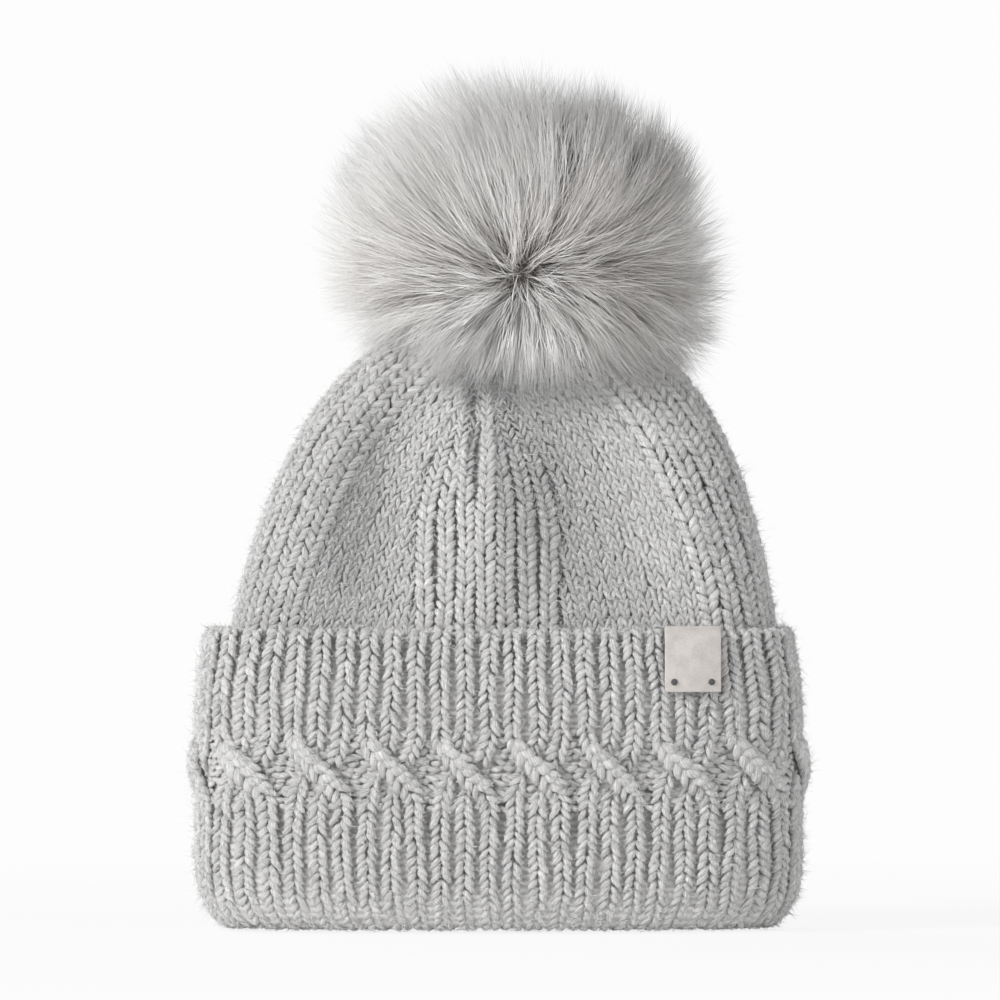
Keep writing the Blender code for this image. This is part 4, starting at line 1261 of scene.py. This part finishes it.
def trimHair(path):
    # a hair that dips far into the crown is cut short, and the rest lies on the knit
    count = path.shape[1]
    moved = np.linalg.norm(clearCrown(path, fur["crownGap"]) - path, axis=-1)
    deep = moved > fur["cutDeep"]
    first = np.where(deep.any(axis=1), deep.argmax(axis=1), count) - 0.6
    share = np.clip(first / (count - 1), 0.0, 1.0)
    spots = np.linspace(0.0, 1.0, count)[None] * share[:, None] * (count - 1)
    low = np.minimum(spots.astype(int), count - 2)
    part = (spots - low)[..., None]
    rows = np.arange(len(path))[:, None]
    path = path[rows, low] * (1.0 - part) + path[rows, low + 1] * part
    return clearCrown(path, fur["crownGap"])


def flowFrom(rays, whorl):
    # the way that hair lies as it runs out from a whorl, with how near the whorl is and how far hair leans
    whorl = unit(np.array(whorl))
    facing = rays @ whorl
    return unit(facing[:, None] * rays - whorl), facing, np.sqrt(np.maximum(1.0 - facing**2, 0.0))


def combLocks(rays):
    locks = len(rays)
    flow, facing, slant = flowFrom(rays, fur["whorl"])
    farFlow, farFacing, farSlant = flowFrom(rays, fur["farWhorl"])  # the hair parts again at the back
    farShare = ease(farFacing, 0.42, 0.88)
    lean = fur["lean"] * (0.05 + 0.95 * slant) * (1.0 - 0.85 * ease(facing, 0.0, -0.8))
    lean = lean * (1.0 + 0.25 * drift(rays, 7.0)) + chance.normal(0.0, 0.08, locks)
    sway = sum(size * drift(rays, pace) for size, pace in fur["sway"]) + chance.normal(0.0, 0.07, locks)
    sway = sway * (0.25 + 0.75 * slant)
    droop = np.zeros((locks, 3))
    droop[:, 2] = -0.06 - 0.12 * ease(rays[:, 2], 0.2, -0.6)
    push = (lean * (1.0 - farShare))[:, None] * flow
    push += (fur["farLean"] * farSlant * farShare)[:, None] * farFlow
    aim = unit(rays + push + sway[:, None] * unit(np.cross(rays, flow)) + droop)
    reach = 0.985 + 0.012 * drift(rays, 11.0) + chance.normal(0.0, 0.016, locks)
    return aim, reach


def toneAndShadeLocks(rays, aim):
    x, y, z = aim.T
    tone = furShades["middle"] + furShades["drift"] * drift(rays, 6.0)
    tone = tone + chance.normal(0.0, furShades["blur"], len(rays))
    # painted shade and light by where each lock points: the right side, most at the front, and the left side
    # darker, the underside and the top lighter
    right = furShades["right"] + furShades["frontRight"] * ease(-y, -0.5, 0.2)
    tone = tone + right * ease(x, 0.1, 0.8) + furShades["left"] * ease(x, -0.2, -0.8)
    return tone + furShades["under"] * ease(z, -0.1, -0.6) + furShades["top"] * ease(z, 0.4, 0.9)


def growHair():
    rays = spread(fur["locks"])
    rays = rays[rays[:, 2] > fur["lowest"]]
    aim, reach = combLocks(rays)
    lockToneAndShade = toneAndShadeLocks(rays, aim)
    lock = np.repeat(np.arange(len(rays)), fur["hairs"])
    total = len(lock)
    rootRay = unit(rays[lock] + chance.normal(0.0, fur["rootBlur"], (total, 3)))
    root = np.array(fur["core"]) + rootRay * np.array(fur["coreSize"])
    loose = chance.random(total) < fur["looseShare"]
    guard = chance.random(total) < fur["guardShare"]
    blur = np.where(loose, fur["looseBlur"], fur["tipBlur"])[:, None]
    tipRay = unit(aim[lock] + blur * chance.normal(0.0, 1.0, (total, 3)))
    long = reach[lock] * chance.normal(*fur["long"], total) + fur["looseLong"] * (loose | guard)
    tip = root + (furEdge(tipRay) - root) * np.clip(long, 0.5, 1.09)[:, None]
    elbow = root + rootRay * (fur["elbow"] * np.linalg.norm(tip - root, axis=-1))[:, None]
    t = np.linspace(0.0, 1.0, fur["points"])[None, :, None]
    path = (1 - t) ** 2 * root[:, None] + 2 * t * (1 - t) * elbow[:, None] + t**2 * tip[:, None]
    phase = chance.uniform(0.0, 6.28, (len(rays), 2))[lock, :1]
    swing = unit(np.cross(rootRay, tipRay - rootRay + 1e-6))
    wave = fur["wave"] * np.sin(4.0 * t[..., 0] + phase) * t[..., 0]
    path = trimHair(path + wave[..., None] * swing[:, None])
    tone = np.clip(lockToneAndShade[lock] + chance.normal(0.0, 0.14, total) + fur["guardPale"] * guard, 0.01, 0.98)
    thick = fur["thick"] * chance.uniform(*fur["thinThick"], total)
    thick = thick * np.where(loose, fur["looseThin"], 1.0) * np.where(guard, fur["guardThick"], 1.0)
    return path, tone, rootRay, thick


def buildFur():
    look = makeFurLook()
    path, tone, rays, thick = growHair()
    turn = np.degrees(np.arctan2(rays[:, 1], rays[:, 0])) % 360.0
    names = ("BackRight", "Back", "BackLeft", "FrontLeft", "Front", "FrontRight")
    for k, name in enumerate(names):
        pick = (turn >= 60.0 * k) & (turn < 60.0 * k + 60.0)
        mesh = hairMesh(path[pick], tone[pick], thick[pick])
        makePiece("fur" + name, mesh, look, "pom", ["pom_fur", "pom_fur_skirt"], furMap)


buildFur()
print("fur grown")


# the stuffed pouch of pelt that the fur grows on, drawn in at its mouth
pouch = {
    "mouth": 0.0105, "flat": 0.0164, "wide": 0.034, "low": 0.2241, "middle": 0.2531, "high": 0.2821,
    "wall": 0.0012, "pleats": 26, "pleatDeep": 0.035, "pleatUp": 0.012,
}


def makePelt():
    shades = ((0.0, (0.44, 0.37, 0.30)), (0.6, (0.60, 0.53, 0.45)))
    pits = {"Scale": 700.0}
    return makeGrained("peltBacking", 0.8, peltPits, pits, shades, 0.5, 0.0003, Specular_IOR_Level=0.2)


def pouchRings(inset, turns):
    under = np.linspace(0.0, 0.5 * math.pi, 14)
    over = under[1:-1]
    wide, flat, mouth, middle = pouch["wide"] - inset, pouch["flat"] - inset, pouch["mouth"], pouch["middle"]
    low, high = middle - pouch["low"] - inset, pouch["high"] - middle - inset
    foot = np.linspace(mouth, flat, 6)[:-1]
    radius = np.concatenate([foot, flat + (wide - flat) * np.sin(under), wide * np.cos(over)])
    level = [np.full(len(foot), middle - low), middle - low * np.cos(under), middle + high * np.sin(over)]
    level = np.concatenate(level)
    pleat = ease(level, pouch["low"] + pouch["pleatUp"], pouch["low"]) * ease(radius, mouth, mouth + 0.003)
    pleat = pouch["pleatDeep"] * pleat[:, None] * (1.0 + np.cos(pouch["pleats"] * turns))
    radius = radius[:, None] * (1.0 - pleat)
    x = crown["shift"] + radius * np.cos(turns)
    return np.stack([x, radius * np.sin(turns), np.repeat(level[:, None], len(turns), axis=1)], axis=-1)


def buildPouch():
    turns = np.linspace(0.0, 2.0 * math.pi, 156, endpoint=False)
    outer, inner = pouchRings(0.0, turns), pouchRings(pouch["wall"], turns)
    points, quads = ringGrid(np.concatenate([outer, inner[::-1]]))
    rows, count = len(outer), len(turns)
    quads = quads[(quads[:, 0] // count) != rows - 1]  # the two tops close with fans instead
    tops = np.array([[crown["shift"], 0.0, pouch["high"] - inset] for inset in (0.0, pouch["wall"])])
    i = np.arange(count)
    after = (i + 1) % count
    top, under = (rows - 1) * count, rows * count
    fans = [np.stack([top + i, top + after, np.full(count, len(points))], axis=-1)]
    fans.append(np.stack([under + after, under + i, np.full(count, len(points) + 1)], axis=-1))
    mesh = (np.concatenate([points, tops]), quads, np.concatenate(fans), None)
    piece = makePiece("peltPouch", mesh, makePelt(), "pom", ["pom_pelt", "pom_stuffing"])


buildPouch()
print("pouch stuffed")


# finishes for the parts that stay as they came from CAD
def makeThread(name, dark, pale):
    ply = {"Scale": 900.0, "Distortion": 1.5, "Detail": 2.0}
    shades = ((0.1, dark), (0.9, pale))
    return makeGrained(name, 0.75, threadPly, ply, shades, 0.6, 0.0002, Specular_IOR_Level=0.25)


def makeSpeckled(name, rough, dark, pale, scale, metal=0.0):
    grain = {"Scale": scale, "Detail": 5.0, "Roughness": 0.65}
    shades = ((0.3, dark), (0.7, pale))
    strength = 0.05 if metal else 0.5
    return makeGrained(name, rough, fineGrain, grain, shades, strength, 0.0003, Metallic=metal)


stitches = [f"{half}_stitch_{k}" for half in ("socket", "stud") for k in (1, 2, 3, 4)]
studParts = ["snap_socket", "socket_spring", "snap_stud"]
finishes = {
    makeThread("darkThread", grey(0.055), grey(0.15)): ["label_tack_left", "label_tack_right"],
    makeThread("paleThread", grey(0.58, 0.02), grey(0.80, 0.02)): ["pom_gather_thread"] + stitches,
    makeSpeckled("nickelSteel", 0.3, grey(0.55), grey(0.66), 1400.0, 1.0): studParts,
    makeSpeckled("pressedFelt", 0.95, grey(0.48), grey(0.68), 1800.0): ["backing_patch"],
    makeSpeckled("fibreBoard", 0.75, (0.22, 0.20, 0.185), (0.37, 0.345, 0.32), 1100.0): ["pom_base_disc"],
    makeSpeckled("gatherYarn", 0.92, grey(0.45, 0.012), grey(0.78, 0.012), 1600.0): ["crown_gather_yarn"],
}
for look, names in finishes.items():
    for name in names:
        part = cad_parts[name]
        part.data.materials.clear()
        part.data.materials.append(look)
print("small parts finished")
